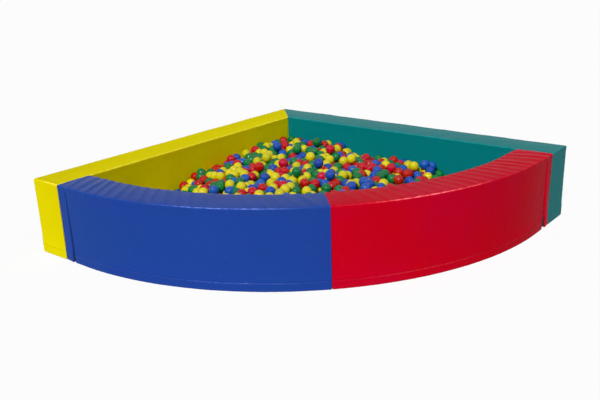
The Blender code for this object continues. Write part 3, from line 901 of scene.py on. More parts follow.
def straight_ridges(side):
    """The faint creases of a straight cover."""
    random = np.random.default_rng(SEEDS["creases"] + (side == "right"))
    ridges = []
    middle = FIRST_CREASE
    while middle < WALL_LENGTH - CREASE_MARGIN:
        height = CREASE_HEIGHTS[side] * random.uniform(*CREASE_SHARES)
        lean = random.uniform(-CREASE_LEAN, CREASE_LEAN)
        ridges.append((middle, height, lean, random.uniform(-CREASE_BEND, CREASE_BEND), CREASE_WIDTH))
        middle += random.uniform(*CREASE_STEPS)
    return ridges


def near_zip(distance, zip_start, zip_end):
    """One along the zip and zero past its ends."""
    opening = np.clip((distance - zip_start) / ZIP_SLOT_RAMP + 1, 0, 1)
    return opening * np.clip((zip_end - distance) / ZIP_SLOT_RAMP + 1, 0, 1)


def beside_tape(across, height):
    """One on an end face clear of its touch tape, zero under the tape."""
    off_middle = np.abs(across - WALL_THICKNESS / 2) - TAPE_WIDTH / 2
    off_height = np.maximum(TAPE_FOOT - height, height - TAPE_TOP)
    return smooth(np.maximum(off_middle, off_height) / TAPE_MARGIN)


def rim_hill(height):
    """One on the tray's upper rim, falling away above and below it."""
    return hill(height - SEAM_HEIGHT + RIM_DROP, RIM_WIDTH)


def shape_cloth(spots, way, ridges, seed, zip_run, kind, upward):
    """Gives a plain cover its crown, drawn-in sides, puckers, sewn edges, hem and zip slot."""
    along, across, height = spots.T
    if kind == "curve":
        meets, swell, zip_side = 1, JOINT_GAP / 2 - END_MEETING_GAP, across > WALL_THICKNESS / 2
    else:
        meets, swell, zip_side = -1, MITRE_START - END_MEETING_GAP, across < WALL_THICKNESS / 2
    on_end = smooth((way[:, 0] * meets - END_FACING[0]) / END_FACING[1])
    on_top = smooth((height - WALL_HEIGHT + TOP_BAND) / TOP_BAND)
    sideways = np.clip(1 - np.abs(way[:, 2]) * SIDE_FACING, 0, 1)
    broad = waves(spots, BROAD_SWELL, seed + 2)
    fine = waves(spots, FINE_SWELL, seed + 3)
    out = edge_bead(way, spots, seed)
    out += on_top * (TOP_SWELLS[0] * broad + TOP_SWELLS[1] * fine + puckers(along, across, ridges))
    share = np.clip((height - SEAM_HEIGHT) / (WALL_HEIGHT - SEAM_HEIGHT), 0, 1)
    draw = SIDE_DRAW * np.sin(math.pi * np.sqrt(share))
    draw = draw + SIDE_SWELLS[0] * (1 - broad) + SIDE_SWELLS[1] * (1 - fine)
    out -= sideways * (1 - on_top) * (1 - on_end) * draw * smooth((height - SEAM_HEIGHT) / SIDE_BLEND)
    out += upward * sideways * HEM_PROUD * smooth((SEAM_HEIGHT + HEM_HEIGHT - height) / HEM_RAMP)
    if not upward:
        out += sideways * RIM_PROUD * rim_hill(height) * ~zip_side
        out -= sideways * FOOT_SEAM_DEPTH * hill(height - FOOT_SEAM, FOOT_SEAM_WIDTH)
    shaped = spots + way * out[:, None]
    swollen = meets * shaped[:, 0] + on_end * swell * beside_tape(across, height)
    shaped[:, 0] = meets * np.minimum(swollen, np.max(meets * along) + swell)
    crown = CROWN * (2 * across / WALL_THICKNESS - 1) ** 2
    shaped[:, 2] -= crown * smooth((height - CROWN_START) / CROWN_RUN)
    near = np.clip(1 - np.abs(height - SEAM_HEIGHT) / ZIP_SLOT_REACH, 0, 1)
    opened = near_zip(along, *zip_run) * zip_side * near * (ZIP_SLOT_HALF - TOUCH_GAP / 2)
    shaped[:, 2] += opened if upward else -opened
    return shaped


def edge_highlight(way, spots, outer_share, inner_share):
    """How strong the painted highlight is: a line on the outer and on the inner top edge."""
    lip = hill(1 - edge_evenness(way), HIGHLIGHT_SPREAD) * (way[:, 2] > FACES_UP)
    return lip * np.where(spots[:, 1] < WALL_THICKNESS / 2, outer_share, inner_share)


def highlight_span(along, least):
    """One where the painted highlight runs along the middle of a curved wall, fading to the least share at
    both sides of it.
    """
    return least + (1 - least) * smooth(HIGHLIGHT_EDGE - np.abs(along - HIGHLIGHT_MIDDLE) / HIGHLIGHT_REACH)


def across_stops():
    low = round_stops(EDGE_ROUND)
    middle = even_stops(EDGE_ROUND, WALL_THICKNESS - EDGE_ROUND, ACROSS_STEP)
    return join_stops(low, middle, WALL_THICKNESS - low)


def along_stops(length, step):
    middle = even_stops(END_ROUND, length - EDGE_ROUND, step)
    return join_stops(round_stops(END_ROUND), middle, length - round_stops(EDGE_ROUND))


def hood_levels():
    hem = SEAM_HEIGHT + TOUCH_GAP / 2 + HEM_CUTS
    lower = even_stops(LOW_START, UPPER_START, LOW_STEP)
    upper = even_stops(UPPER_START, WALL_HEIGHT - EDGE_ROUND, LEVEL_STEP)
    return join_stops(hem, lower, upper, WALL_HEIGHT - round_stops(EDGE_ROUND))


ZIP_RUNS = {
    "wall": (ZIP_MARGIN, WALL_LENGTH - ZIP_MARGIN),
    "curve": tuple(LEAD + steps * CURVE_STEP for steps in CURVE_ZIP_STEPS),
}


def cover(side, kind, part, route, shaped, quads, highlight_and_polish, *nodes):
    """A finished cover: its cloth with its thickness and the painted highlights along its edges."""
    finish = COVER_FINISHES[kind][side]
    marks = (("highlight_and_polish", "FLOAT", highlight_and_polish),)
    name = f"{side}_{kind}_{part}_cover"
    piece = mesh_of(name, place(side, route, shaped), facing(side, quads), MATERIALS[finish], marks)
    add_cloth_thickness(piece)
    belongs(piece, f"{side}_{kind}", finish, *(f"{side}_{node}" for node in nodes))


def straight_hood(side):
    """The upper cover of a straight wall, open at the seam."""
    stops = (along_stops(STRAIGHT_LENGTH, HOOD_STEP), across_stops(), hood_levels())
    spots, way, quads = block(stops, (END_ROUND, EDGE_ROUND, 0), (EDGE_ROUND,) * 3, open_level=0)
    seed = SEEDS["straight hood"] + 10 * (side == "right")
    shaped = shape_cloth(spots, way, straight_ridges(side), seed, ZIP_RUNS["wall"], "wall", 1)
    # Painted highlight lines along the outer and inner top edges.
    highlight_and_polish = edge_highlight(way, spots, *STRAIGHT_HIGHLIGHTS)
    cover(side, "wall", "hood", straight_route, shaped, quads, highlight_and_polish, "wall_hood")


def tray(side, kind):
    """The lower cover of a wall: its sole and a low skirt."""
    foot = round_stops(FOOT_ROUND, ROUND_TURNS[::2])
    levels = join_stops(foot, SOLE_LEVELS, RIM_LEVELS, SEAM_HEIGHT - TOUCH_GAP / 2)
    stops = (along_stops(LENGTHS[kind], TRAY_STEP), across_stops(), levels)
    rounds = ((END_ROUND, EDGE_ROUND, FOOT_ROUND), (EDGE_ROUND, EDGE_ROUND, 0))
    spots, way, quads = block(stops, *rounds, open_level=len(levels) - 1)
    seed = SEEDS["tray"] + 10 * (side == "right") + 5 * (kind == "wall")
    shaped = shape_cloth(spots, way, (), seed, ZIP_RUNS[kind], kind, 0)
    shaped[:, 2] = np.maximum(shaped[:, 2], 0)
    # Painted highlight along the upper rim of a curved wall's tray.
    wear_and_painted_highlight = RIM_HIGHLIGHT[side] if kind == "curve" else 0
    highlight_and_polish = rim_hill(spots[:, 2]) * wear_and_painted_highlight * highlight_span(spots[:, 0], RIM_LEAST_HIGHLIGHT)
    cover(side, kind, "tray", ROUTES[kind], shaped, quads, highlight_and_polish, f"{kind}_base_tray")


def hood_with_wedge():
    """Points, ways out and quads of a hood that runs on over the end pad, with a wedge open below."""
    end = BODY_START + CURVE_LENGTH
    notch_cuts = round_stops(NOTCH_ROUND, NOTCH_TURNS)
    along = join_stops(
        round_stops(END_ROUND),
        even_stops(END_ROUND, PAD_THICKNESS - NOTCH_ROUND, PAD_STEP),
        PAD_THICKNESS - notch_cuts,
        BODY_START + notch_cuts,
        even_stops(BODY_START + NOTCH_ROUND, end - END_ROUND, CURVED_HOOD_STEP),
        end - round_stops(END_ROUND),
    )
    levels = join_stops(
        PAD_LIFT + round_stops(FOOT_ROUND, ROUND_TURNS[::2]),
        even_stops(PAD_LIFT + FOOT_ROUND, SEAM_HEIGHT, LEVEL_STEP)[:-1],
        hood_levels(),
        NOTCH_HEIGHT,
    )
    stops = (along, across_stops(), levels)
    middle = (along[:-1] + along[1:]) / 2
    height = (levels[:-1] + levels[1:]) / 2
    filled = cells_of(stops)
    filled[middle > BODY_START, :, :] &= height > SEAM_HEIGHT
    filled[(middle > PAD_THICKNESS) & (middle < BODY_START), :, :] &= height > NOTCH_HEIGHT
    index, quads = skin_of(filled, int(np.searchsorted(levels, SEAM_HEIGHT)))
    places = at_stops(index, stops)
    near_notch = NOTCH_HEIGHT + TINY > places[:, 2]
    growth = smooth((NOTCH_HEIGHT - places[:, 2]) / NOTCH_ROUND_RUN)
    notch_round = np.where(near_notch, LEAST_ROUND + (NOTCH_ROUND - LEAST_ROUND) * growth, 0)
    on_pad = places[:, 0] < (PAD_THICKNESS + BODY_START) / 2
    each = np.ones((len(places), 1))
    low, high = each * (0, 0, PAD_LIFT), each * (end, WALL_THICKNESS, WALL_HEIGHT)
    low_round = each * (END_ROUND, EDGE_ROUND, FOOT_ROUND)
    high_round = each * (END_ROUND, EDGE_ROUND, EDGE_ROUND)
    high[:, 0] = np.where(on_pad & near_notch, PAD_THICKNESS, end)
    high_round[:, 0] = np.where(on_pad & near_notch, notch_round, END_ROUND)
    low[:, 0] = np.where(~on_pad & near_notch, BODY_START, 0)
    low_round[:, 0] = np.where(~on_pad & near_notch, notch_round, END_ROUND)
    from_gap = np.where(on_pad, PAD_THICKNESS - places[:, 0], places[:, 0] - BODY_START)
    beside = near_notch & (from_gap < notch_round)
    low_round[beside, 1] = notch_round[beside]
    high_round[beside, 1] = notch_round[beside]
    low[~on_pad, 2] = SEAM_HEIGHT
    low_round[~on_pad, 2] = 0
    return *rounded(places, low, high, low_round, high_round), quads


def curved_hood(side):
    """A curved wall's upper cover, in one with its end pad's, which hangs straight below the seam."""
    spots, way, quads = hood_with_wedge()
    seed = SEEDS["curved hood"] + 10 * (side == "right")
    zip_run = [BODY_START + distance for distance in ZIP_RUNS["curve"]]
    shaped = shape_cloth(spots, way, curve_ridges(side), seed, zip_run, "curve", 1)
    low_pad = (spots[:, 0] <= BODY_START - TINY) & (spots[:, 2] < SEAM_HEIGHT + PAD_FOOT_BLEND)
    plain = spots.copy()
    plain[:, 0] += way[:, 0] * PAD_FOOT_PROUD
    blend = smooth((spots[:, 2] - SEAM_HEIGHT) / PAD_FOOT_BLEND)[:, None]
    shaped = np.where(low_pad[:, None], plain + (shaped - plain) * blend, shaped)
    # Painted highlight along the top edges, strongest on the outer edge in the middle of the curve.
    highlight_and_polish = edge_highlight(way, spots, highlight_span(spots[:, 0], CURVE_LEAST_HIGHLIGHT), CURVE_LEAST_HIGHLIGHT)
    cover(side, "curve", "hood", cover_route, shaped, quads, highlight_and_polish, "curve_hood", "end_pad_cover")


def wedge_shade_sheet(side):
    """A dark sheet that paints the wedge's shade, set just behind the mouth of the wedge between pad and
    curve.
    """
    levels = even_stops(PAD_LIFT + 2 * FOOT_ROUND, NOTCH_HEIGHT - NOTCH_ROUND, LEVEL_STEP)
    count = SHADE_SHEET_CUTS + 1
    share, height = (grid.ravel() for grid in np.meshgrid(np.linspace(0, 1, count), levels))
    depth = SHADE_SHEET_DEPTH + SHADE_SHEET_SAG * np.sin(math.pi * share)
    pad_side = np.array(cover_route(side, np.full_like(share, PAD_THICKNESS), depth, height))
    body_side = np.array(cover_route(side, np.full_like(share, BODY_START), depth, height))
    own, other = pad_side + share * (body_side - pad_side)
    points = world(side, own, other, height)
    first = (np.arange(len(levels) - 1)[:, None] * count + np.arange(count - 1)).ravel()
    quads = np.stack((first, first + 1, first + count + 1, first + count), axis=1)
    piece = mesh_of(f"{side}_wedge_shade_sheet", points, facing(side, quads), MATERIALS["shade_sheet"])
    add_cloth_thickness(piece, SHADE_SHEET_CLOTH)
    belongs(piece, f"{side}_curve", "zip")


def foam_core(side, kind):
    """The foam block inside a cover, cut with a saw and softened at its edges."""
    low = PAD_LIFT + FOAM_INSET if kind == "end_pad" else FOAM_INSET
    end_inset = FOAM_INSET if kind == "end_pad" else FOAM_INSET / HALF_ROOT
    cuts = round_stops(FOAM_ROUND, ROUND_TURNS[::2])
    runs = (
        (end_inset, LENGTHS[kind] - end_inset),
        (FOAM_INSET, WALL_THICKNESS - FOAM_INSET),
        (low, WALL_HEIGHT - FOAM_INSET - CROWN),
    )
    stops = [
        join_stops(first + cuts, even_stops(first + FOAM_ROUND, last - FOAM_ROUND, FOAM_STEP), last - cuts)
        for first, last in runs
    ]
    spots, way, quads = block(stops, (FOAM_ROUND,) * 3, (FOAM_ROUND,) * 3)
    seed = SEEDS["foam"] + 10 * (side == "right") + (kind == "wall")
    shaped = spots + way * uneven(-SAW_CUT, spots, SAW_MARKS, seed)[:, None]
    crown = CROWN * (1 - (2 * shaped[:, 1] / WALL_THICKNESS - 1) ** 2)
    shaped[:, 2] += crown * smooth((spots[:, 2] - CROWN_START) / CROWN_RUN)
    name = f"{side}_{kind}_foam_block"
    piece = mesh_of(name, place(side, ROUTES[kind], shaped), facing(side, quads), MATERIALS["foam"])
    belongs(piece, f"{side}_wall" if kind == "wall" else f"{side}_curve", "foam", f"{side}_{kind}_foam")


# Zips

def zip_across(kind, across):
    """The distance from the wall's outer face, for a depth behind the face that the zip is on."""
    return across if kind == "wall" else WALL_THICKNESS - across


def zip_mesh(side, kind, part, spots, quads, finish):
    """A part of a zip. Curved walls have it on the inner face, so there it is mirrored once more."""
    spots[:, 1] = zip_across(kind, spots[:, 1])
    turned = facing(side, quads) if kind == "wall" else facing(side, quads)[:, ::-1]
    return mesh_of(f"{side}_{kind}_{part}", place(side, ROUTES[kind], spots), turned, MATERIALS[finish])


def zip_tape(side, kind):
    """The zip's woven tape, behind the cloth, with a thicker cord beside the teeth."""
    first, last = ZIP_RUNS[kind]
    front = VINYL + TOUCH_GAP
    stops = (
        even_stops(first + TOUCH_GAP, last - TOUCH_GAP, ZIP_TAPE_STEP),
        np.array((front, front + ZIP_TAPE_THICKNESS)),
        SEAM_HEIGHT + np.concatenate((-ZIP_TAPE_LEVELS[:0:-1], ZIP_TAPE_LEVELS)),
    )
    spots, _, quads = block(stops)
    cord = hill(np.abs(spots[:, 2] - SEAM_HEIGHT) - CORD_OFF, CORD_WIDTH)
    spots[:, 1] -= (spots[:, 1] < front + ZIP_TAPE_THICKNESS / 2) * cord * CORD_PROUD
    piece = zip_mesh(side, kind, "zip_tape", spots, quads, "zip")
    belongs(piece, f"{side}_{kind}", "zip", f"{side}_{kind}_zip_chain")


def tooth_form():
    """Points and faces of one tooth: three rings, the last one smaller, between two flat ends."""
    outline = np.array(TOOTH_NECK + TOOTH_HEAD) * (TOOTH_LENGTH / 2, TOOTH_HEIGHT / 2)
    layers = ((VINYL + TOUCH_GAP, 1.0), (-TOOTH_PROUD * 0.5, 1.0), (-TOOTH_PROUD, TOOTH_TIP))
    points = np.array([(u * size, depth, w * size) for depth, size in layers for u, w in outline])
    ring = len(outline)
    near = np.arange(ring)
    far = (near + 1) % ring
    sides = np.stack((near, far, far + ring, near + ring), axis=1)
    cap = np.array(((0, 1, 2, 7), (7, 2, 3, 6), (6, 3, 4, 5)))
    return points, np.concatenate((sides, sides + ring, cap + 2 * ring, cap[:, ::-1]))


def zip_teeth(side, kind):
    """Two rows of moulded teeth, each a rounded head on a narrower neck, that hook between each other."""
    tooth, faces = tooth_form()
    first, last = ZIP_RUNS[kind]
    rows = []
    for row, flip in ((0, 1), (1, -1)):
        middles = np.arange(first + TEETH_MARGIN + row * TOOTH_PITCH / 2, last - TEETH_MARGIN, TOOTH_PITCH)
        teeth = np.tile(tooth * (flip, 1, flip), (len(middles), 1, 1))
        teeth[:, :, 0] += middles[:, None]
        teeth[:, :, 2] += SEAM_HEIGHT - flip * TOOTH_HEIGHT * TOOTH_HOOK
        rows.append(teeth)
    teeth = np.concatenate(rows)
    quads = (faces + len(tooth) * np.arange(len(teeth))[:, None, None]).reshape(-1, 4)
    piece = zip_mesh(side, kind, "zip_teeth", teeth.reshape(-1, 3), quads, "zip_teeth")
    piece.data.set_sharp_from_angle(angle=SHARP_TURNS["teeth"])
    belongs(piece, f"{side}_{kind}", "zip", f"{side}_{kind}_zip_chain")


def extruded(form, outline, low, high):
    """A flat plate over an outline of x, y places, added to a bmesh."""
    foot = [form.verts.new((x, y, low)) for x, y in outline]
    head = [form.verts.new((x, y, high)) for x, y in outline]
    form.faces.new(list(reversed(foot)))
    form.faces.new(head)
    for i in range(len(outline)):
        j = (i + 1) % len(outline)
        form.faces.new((foot[i], foot[j], head[j], head[i]))


def arc_points(middle_x, middle_y, radius, first, last, count):
    turns = np.linspace(first, last, count)
    return [(middle_x + radius * math.cos(turn), middle_y + radius * math.sin(turn)) for turn in turns]


def slider_body(form):
    """The shield-shaped plate, with a flank along each side."""
    half, nose, tail = SLIDER_LENGTH / 2, SLIDER_NOSE / 2, SLIDER_TAIL / 2
    waist = (half * WAIST[0], -tail * WAIST[1])
    shield = arc_points(-half + nose * NOSE_MIDDLE, 0, nose, *np.radians(NOSE_TURNS), ARC_POINTS)
    shield += [waist, (half - SLIDER_CORNER, -tail), (half, -tail + SLIDER_CORNER)]
    shield += [(x, -y) for x, y in reversed(shield[-3:])]
    extruded(form, shield, *(SLIDER_THICKNESS * share for share in PLATE_LEVELS))
    back, front = (half * share for share in FLANK_RUN)
    for flank in (-1, 1):
        low, high = sorted(flank * tail * share for share in FLANK_SIDES)
        corners = ((back, low), (front, low), (front, high), (back, high))
        extruded(form, corners, *(SLIDER_THICKNESS * share for share in FLANK_LEVELS))


def slider_bridge(form):
    """The bridge over the plate that holds the tab."""
    reach = SLIDER_LENGTH / 2 * BRIDGE_RUN
    half = BRIDGE_WIDTH / 2
    foot = SLIDER_THICKNESS * BRIDGE_LEVEL
    rows = []
    for share, rise in arc_points(0, 0, 1, math.pi, 0, ARC_POINTS):
        x, z = share * reach, rise * SLIDER_THICKNESS * BRIDGE_RISE
        inner_x, inner_z = x * BRIDGE_INSIDE[0], foot + z * BRIDGE_INSIDE[1]
        row = ((x, -half, foot + z), (x, half, foot + z), (inner_x, half, inner_z), (inner_x, -half, inner_z))
        rows.append([form.verts.new(point) for point in row])
    for near, far in zip(rows, rows[1:]):
        for i in range(4):
            j = (i + 1) % 4
            form.faces.new((near[i], far[i], far[j], near[j]))
    form.faces.new(rows[0])
    form.faces.new(list(reversed(rows[-1])))


def slider_tab(form):
    """The pull tab: a plate with rounded ends and a hole near its foot."""
    half, tail = TAB_WIDTH / 2, SLIDER_TAIL / 2
    top = -tail + half * TAB_TOP
    foot = -tail - TAB_LENGTH
    outline = arc_points(0, top - half, half * TAB_NECK, 0, math.pi, NECK_POINTS)
    outline += arc_points(0, foot + half, half, math.pi, 2 * math.pi, ARC_POINTS)
    middle, radius = foot + half * HOLE_MIDDLE, half * HOLE_RADIUS
    turns = [math.atan2(y - middle, x) for x, y in outline]
    hole = [(radius * math.cos(turn), middle + radius * math.sin(turn)) for turn in turns]
    low, high = (SLIDER_THICKNESS * share for share in TAB_LEVELS)
    loops = []
    for points, level in ((outline, low), (outline, high), (hole, high), (hole, low)):
        loops.append([form.verts.new((x, y, level)) for x, y in points])
    for near, far in zip(loops, loops[1:] + loops[:1]):
        for i in range(len(outline)):
            j = (i + 1) % len(outline)
            form.faces.new((near[i], near[j], far[j], far[i]))


def zip_slider(side, kind):
    """The slider: a shield-shaped plate, a bridge on it, and a pull tab with a hole."""
    form = bmesh.new()
    slider_body(form)
    slider_bridge(form)
    slider_tab(form)
    bmesh.ops.recalc_face_normals(form, faces=form.faces)
    name = f"{side}_{kind}_slider"
    mesh = bpy.data.meshes.new(name)
    form.to_mesh(mesh)
    form.free()
    mesh.materials.append(MATERIALS["zip_metal"])
    mesh.shade_smooth()
    mesh.set_sharp_from_angle(angle=SHARP_TURNS["slider"])
    piece = in_scene(name, mesh)
    start = ZIP_RUNS[kind][0] + SLIDER_REST
    across = -TOOTH_PROUD - SLIDER_GAP
    origin, ahead, outside = (
        Vector(place(side, ROUTES[kind], np.array([(distance, zip_across(kind, depth), SEAM_HEIGHT)]))[0])
        for distance, depth in ((start, across), (start + PROBE, across), (start, -PROBE))
    )
    up = Vector((0, 0, 1))
    along = (ahead - origin).normalized()
    out = along.cross(up).normalized()
    if out.dot(outside - origin) < 0:
        along, out = -along, -out
    turned = Matrix((along, up, out)).transposed().to_4x4()
    mesh.transform(Matrix.Translation(origin) @ turned)
    edge = piece.modifiers.new("worn edge", "BEVEL")
    edge.width = SLIDER_WEAR
    edge.segments = 2
    edge.limit_method = "ANGLE"
    belongs(piece, f"{side}_{kind}_slider", "zip_metal", f"{side}_{kind}_zip_slider")


# Touch tape

def tape_strip(node, body, outline, seed):
    """A strip of touch tape: a bristly face with flat woven edges, on a plan outline of three corners."""
    stops = (
        even_stops(0, TAPE_WIDTH, TAPE_STEPS[0]),
        np.array((0, TAPE_THICKNESS * 0.5, TAPE_THICKNESS)),
        even_stops(TAPE_FOOT, TAPE_TOP, TAPE_STEPS[1]),
    )
    spots, way, quads = block(stops)
    from_edge = np.minimum(spots[:, 0], TAPE_WIDTH - spots[:, 0])
    from_edge = np.minimum(from_edge, np.minimum(spots[:, 2] - TAPE_FOOT, TAPE_TOP - spots[:, 2]))
    random = np.random.default_rng(seed)
    bristles = PILE_DEPTH * random.random(len(spots))
    spots[:, 1] -= way[:, 1] * np.where(from_edge < TAPE_EDGE, TAPE_EDGE_SINK, bristles)
    near_low, near_high, far_high = (np.array(corner) for corner in outline)
    along = (near_high - near_low) / TAPE_WIDTH
    across = (far_high - near_high) / TAPE_THICKNESS
    plan = near_low + spots[:, :1] * along + spots[:, 1:2] * across
    turn = along[0] * across[1] - along[1] * across[0]
    finish = MATERIALS["hook_tape" if "hook" in node else "loop_tape"]
    points = np.column_stack((plan, spots[:, 2]))
    piece = mesh_of(f"{node}_strip", points, quads if turn > 0 else quads[:, ::-1], finish)
    piece.data.set_sharp_from_angle(angle=SHARP_TURNS["touch tape"])
    belongs(piece, body, "touch_tape", node)


def diagonal_outline(side, reach):
    """Corners of a strip on a face that meets the other side's wall, reach metres from the corner."""
    corners = []
    for off, along in ((0, -1), (0, 1), (TAPE_THICKNESS, 1)):
        off += TOUCH_GAP / 2
        run = (reach + along * TAPE_WIDTH / 2) * HALF_ROOT
        corners.append(world(side, run + off * HALF_ROOT, run - off * HALF_ROOT, 0)[:2])
    return corners


def pad_outline(side, near):
    """Corners of a strip where end pad and straight wall meet, near metres from the wall's outer face."""
    middle = WALL_LENGTH - WALL_THICKNESS / 2
    low, high = middle - TAPE_WIDTH / 2, middle + TAPE_WIDTH / 2
    corners = ((low, near), (high, near), (high, near + TAPE_THICKNESS))
    return [world(side, own, other, 0)[:2] for own, other in corners]


def touch_tapes():
    """Hooks on one face and loops on the other, at each of the four meetings."""
    corner_reach = WALL_THICKNESS / 2 / HALF_ROOT
    seam_reach = 2 * CORNER_Y - WALL_THICKNESS / 2
    for number, (side, pile) in enumerate({"left": "hook", "right": "loop"}.items()):
        wall_face = WALL_THICKNESS + TOUCH_GAP
        strips = (
            ("wall_loop", "wall", pad_outline(side, wall_face)),
            ("end_pad_hook", "curve", pad_outline(side, wall_face + TAPE_THICKNESS + TOUCH_GAP)),
            (f"corner_{pile}", "wall", diagonal_outline(side, corner_reach)),
            (f"curve_{pile}", "curve", diagonal_outline(side, seam_reach)),
        )
        for turn, (strip, wall, outline) in enumerate(strips):
            seed = SEEDS["touch tape"] + len(strips) * number + turn
            tape_strip(f"{side}_{strip}_tape", f"{side}_{wall}", outline, seed)


# Floor mats

def mat_outline(inset):
    """Plan of one mat half: along the straight wall, round the arc and back along the middle line."""
    edge = WALL_THICKNESS + MAT_GAP + inset
    off_middle = TOUCH_GAP / 2 + inset
    start = edge + off_middle / HALF_ROOT
    radius = INNER_RADIUS - MAT_GAP - inset
    first_turn = math.asin(max(edge - CURVE_CENTRE, 0) / radius)
    last_turn = EIGHTH_TURN - math.asin(off_middle / radius)
    end = CURVE_CENTRE + radius * math.cos(first_turn)
    turns = np.linspace(first_turn, last_turn, MAT_CUTS["arc"])
    arc = np.stack((CURVE_CENTRE + radius * np.cos(turns), CURVE_CENTRE + radius * np.sin(turns)), axis=1)
    along = np.linspace((start, edge), (end, edge), MAT_CUTS["wall"])[:-1]
    lead = np.linspace((end, edge), arc[0], MAT_CUTS["lead"])[:-1]
    back = np.linspace(arc[-1], (start, edge), MAT_CUTS["middle line"])[1:-1]
    return np.concatenate((along, lead, arc, back))


def mat_rings(inset, seed):
    """Rings of points from the middle of a mat's underside, round its edge, to the middle of its top."""
    low, high = inset, MAT_HEIGHT - inset
    middle = mat_outline(MAT_MIDDLE_INSET).mean(axis=0)
    edge = mat_outline(inset + MAT_ROUND)
    rings = []
    for share in MAT_SOLE_SHARES:
        rings.append(np.column_stack((middle + (edge - middle) * share, np.full(len(edge), low))))
    for turn in np.linspace(-math.pi / 2, math.pi / 2, MAT_EDGE_CUTS):
        ring = mat_outline(inset + MAT_ROUND * (1 - math.cos(turn)))
        rise = MAT_ROUND * (1 - abs(math.sin(turn)))
        rings.append(np.column_stack((ring, np.full(len(ring), low + rise if turn < 0 else high - rise))))
    for share in MAT_TOP_SHARES:
        points = np.column_stack((middle + (edge - middle) * share, np.full(len(edge), high)))
        rise = MAT_CROWN * (1 - share**6) - MAT_SEAM_DEPTH * hill(share - MAT_SEAM_SHARE, MAT_SEAM_WIDTH)
        swell = MAT_SWELL * waves(points, MAT_SWELL_LENGTH, seed) * (1 - share**4)
        points[:, 2] += rise - MAT_CROWN + swell - MAT_DROP
        rings.append(points)
    return rings


def mat_piece(side, part, node, finish, slot, inset, seed):
    """A mat half, closed at both ends of its rings."""
    rings = mat_rings(inset, seed)
    count = len(rings[0])
    near = np.arange(count)
    far = (near + 1) % count
    strip = np.stack((near, far, far + count, near + count), axis=1)
    quads = np.concatenate([strip + level * count for level in range(len(rings) - 1)])
    points = world(side, *np.concatenate(rings).T)
    turned = facing("right" if side == "left" else "left", quads)
    piece = mesh_of(f"{side}_{part}", points, turned, MATERIALS[finish])
    form = bmesh.new()
    form.from_mesh(piece.data)
    bmesh.ops.holes_fill(form, edges=[edge for edge in form.edges if edge.is_boundary], sides=0)
    bmesh.ops.recalc_face_normals(form, faces=form.faces)
    form.to_mesh(piece.data)
    form.free()
    piece.data.shade_smooth()
    return belongs(piece, "floor_mat", slot, f"{side}_{node}")


def floor_mats():
    """Both halves of the mat, each a foam sheet in a cover."""
    for side in SIDES:
        seed = SEEDS["mat"] + (side == "right")
        foam = mat_piece(side, "mat_foam_sheet", "mat_foam", "foam", "foam", VINYL + 2 * TOUCH_GAP, seed)
        cloth = mat_piece(side, "mat_cover_cloth", "mat_cover", "mat_vinyl", "mat_vinyl", 0, seed)
        add_cloth_thickness(cloth, VINYL * 0.6)


# Balls

def ball_form(cuts):
    """Directions and quads of a unit ball made from a cube's six faces, cuts squares along each."""
    stops = np.tan(np.linspace(-math.pi / 4, math.pi / 4, cuts + 1))
    index, quads = skin_of(np.ones((cuts,) * 3, bool))
    ways = stops[index]
    return ways / np.linalg.norm(ways, axis=1, keepdims=True), quads


def random_turns(random, count):
    """Random rotations as matrices, one for each ball."""
    four = random.normal(size=(count, 4))
    w, x, y, z = (four / np.linalg.norm(four, axis=1, keepdims=True)).T
    rows = (
        (1 - 2 * (y * y + z * z), 2 * (x * y - w * z), 2 * (x * z + w * y)),
        (2 * (x * y + w * z), 1 - 2 * (x * x + z * z), 2 * (y * z - w * x)),
        (2 * (x * z - w * y), 2 * (y * z + w * x), 1 - 2 * (x * x + y * y)),
    )
    return np.stack([np.stack(row, axis=1) for row in rows], axis=1)


def balls_piece(name, colour, middles, cuts, seed):
    """Many balls of one colour in one mesh, each turned its own way and slightly out of round."""
    random = np.random.default_rng(seed)
    ways, quads = ball_form(cuts)
    count = len(middles)
    turns = random_turns(random, count)
    turned = np.einsum("nij,kj->nki", turns, ways)
    squeeze = 1 + SQUEEZE * random.normal(size=(count, 1, 1)) * ways[None, :, :1]
    points = middles[:, None] + turned * BALL_RADIUS * np.clip(squeeze, LEAST_SQUEEZE, 1.0)
    faces = quads[None] + np.arange(count)[:, None, None] * len(ways)
    tint = np.repeat(random.random(count), len(ways))
    marks = (("own_way", "FLOAT_VECTOR", np.tile(ways, (count, 1))), ("tint", "FLOAT", tint))
    return mesh_of(name, points.reshape(-1, 3), faces.reshape(-1, 4), MATERIALS[f"{colour}_ball"], marks)


def heap_top(own, other):
    """Height of the top balls' middles over a place in the pit."""
    x = (other - own) * HALF_ROOT
    reach = (own + other) * HALF_ROOT
    sideways = (np.abs(x) - HEAP_FLAT_HALF_WIDTH) / (HEAP_FOOT_HALF_WIDTH - HEAP_FLAT_HALF_WIDTH)
    forward = (reach - HEAP_FLAT_REACH) / (HEAP_FOOT_REACH - HEAP_FLAT_REACH)
    height = HEAP_HEIGHT - HEAP_SIDE_DROP * smooth(sideways) - HEAP_FRONT_DROP * smooth(forward)
    for across, back, rise in SWELL_SHARES:
        off = np.hypot(x - across * WALL_LENGTH, CORNER_Y - reach - back * WALL_LENGTH) / SWELL_SPREAD
        height = height + rise * HEAP_HEIGHT * np.exp(-(off**2))
    return height


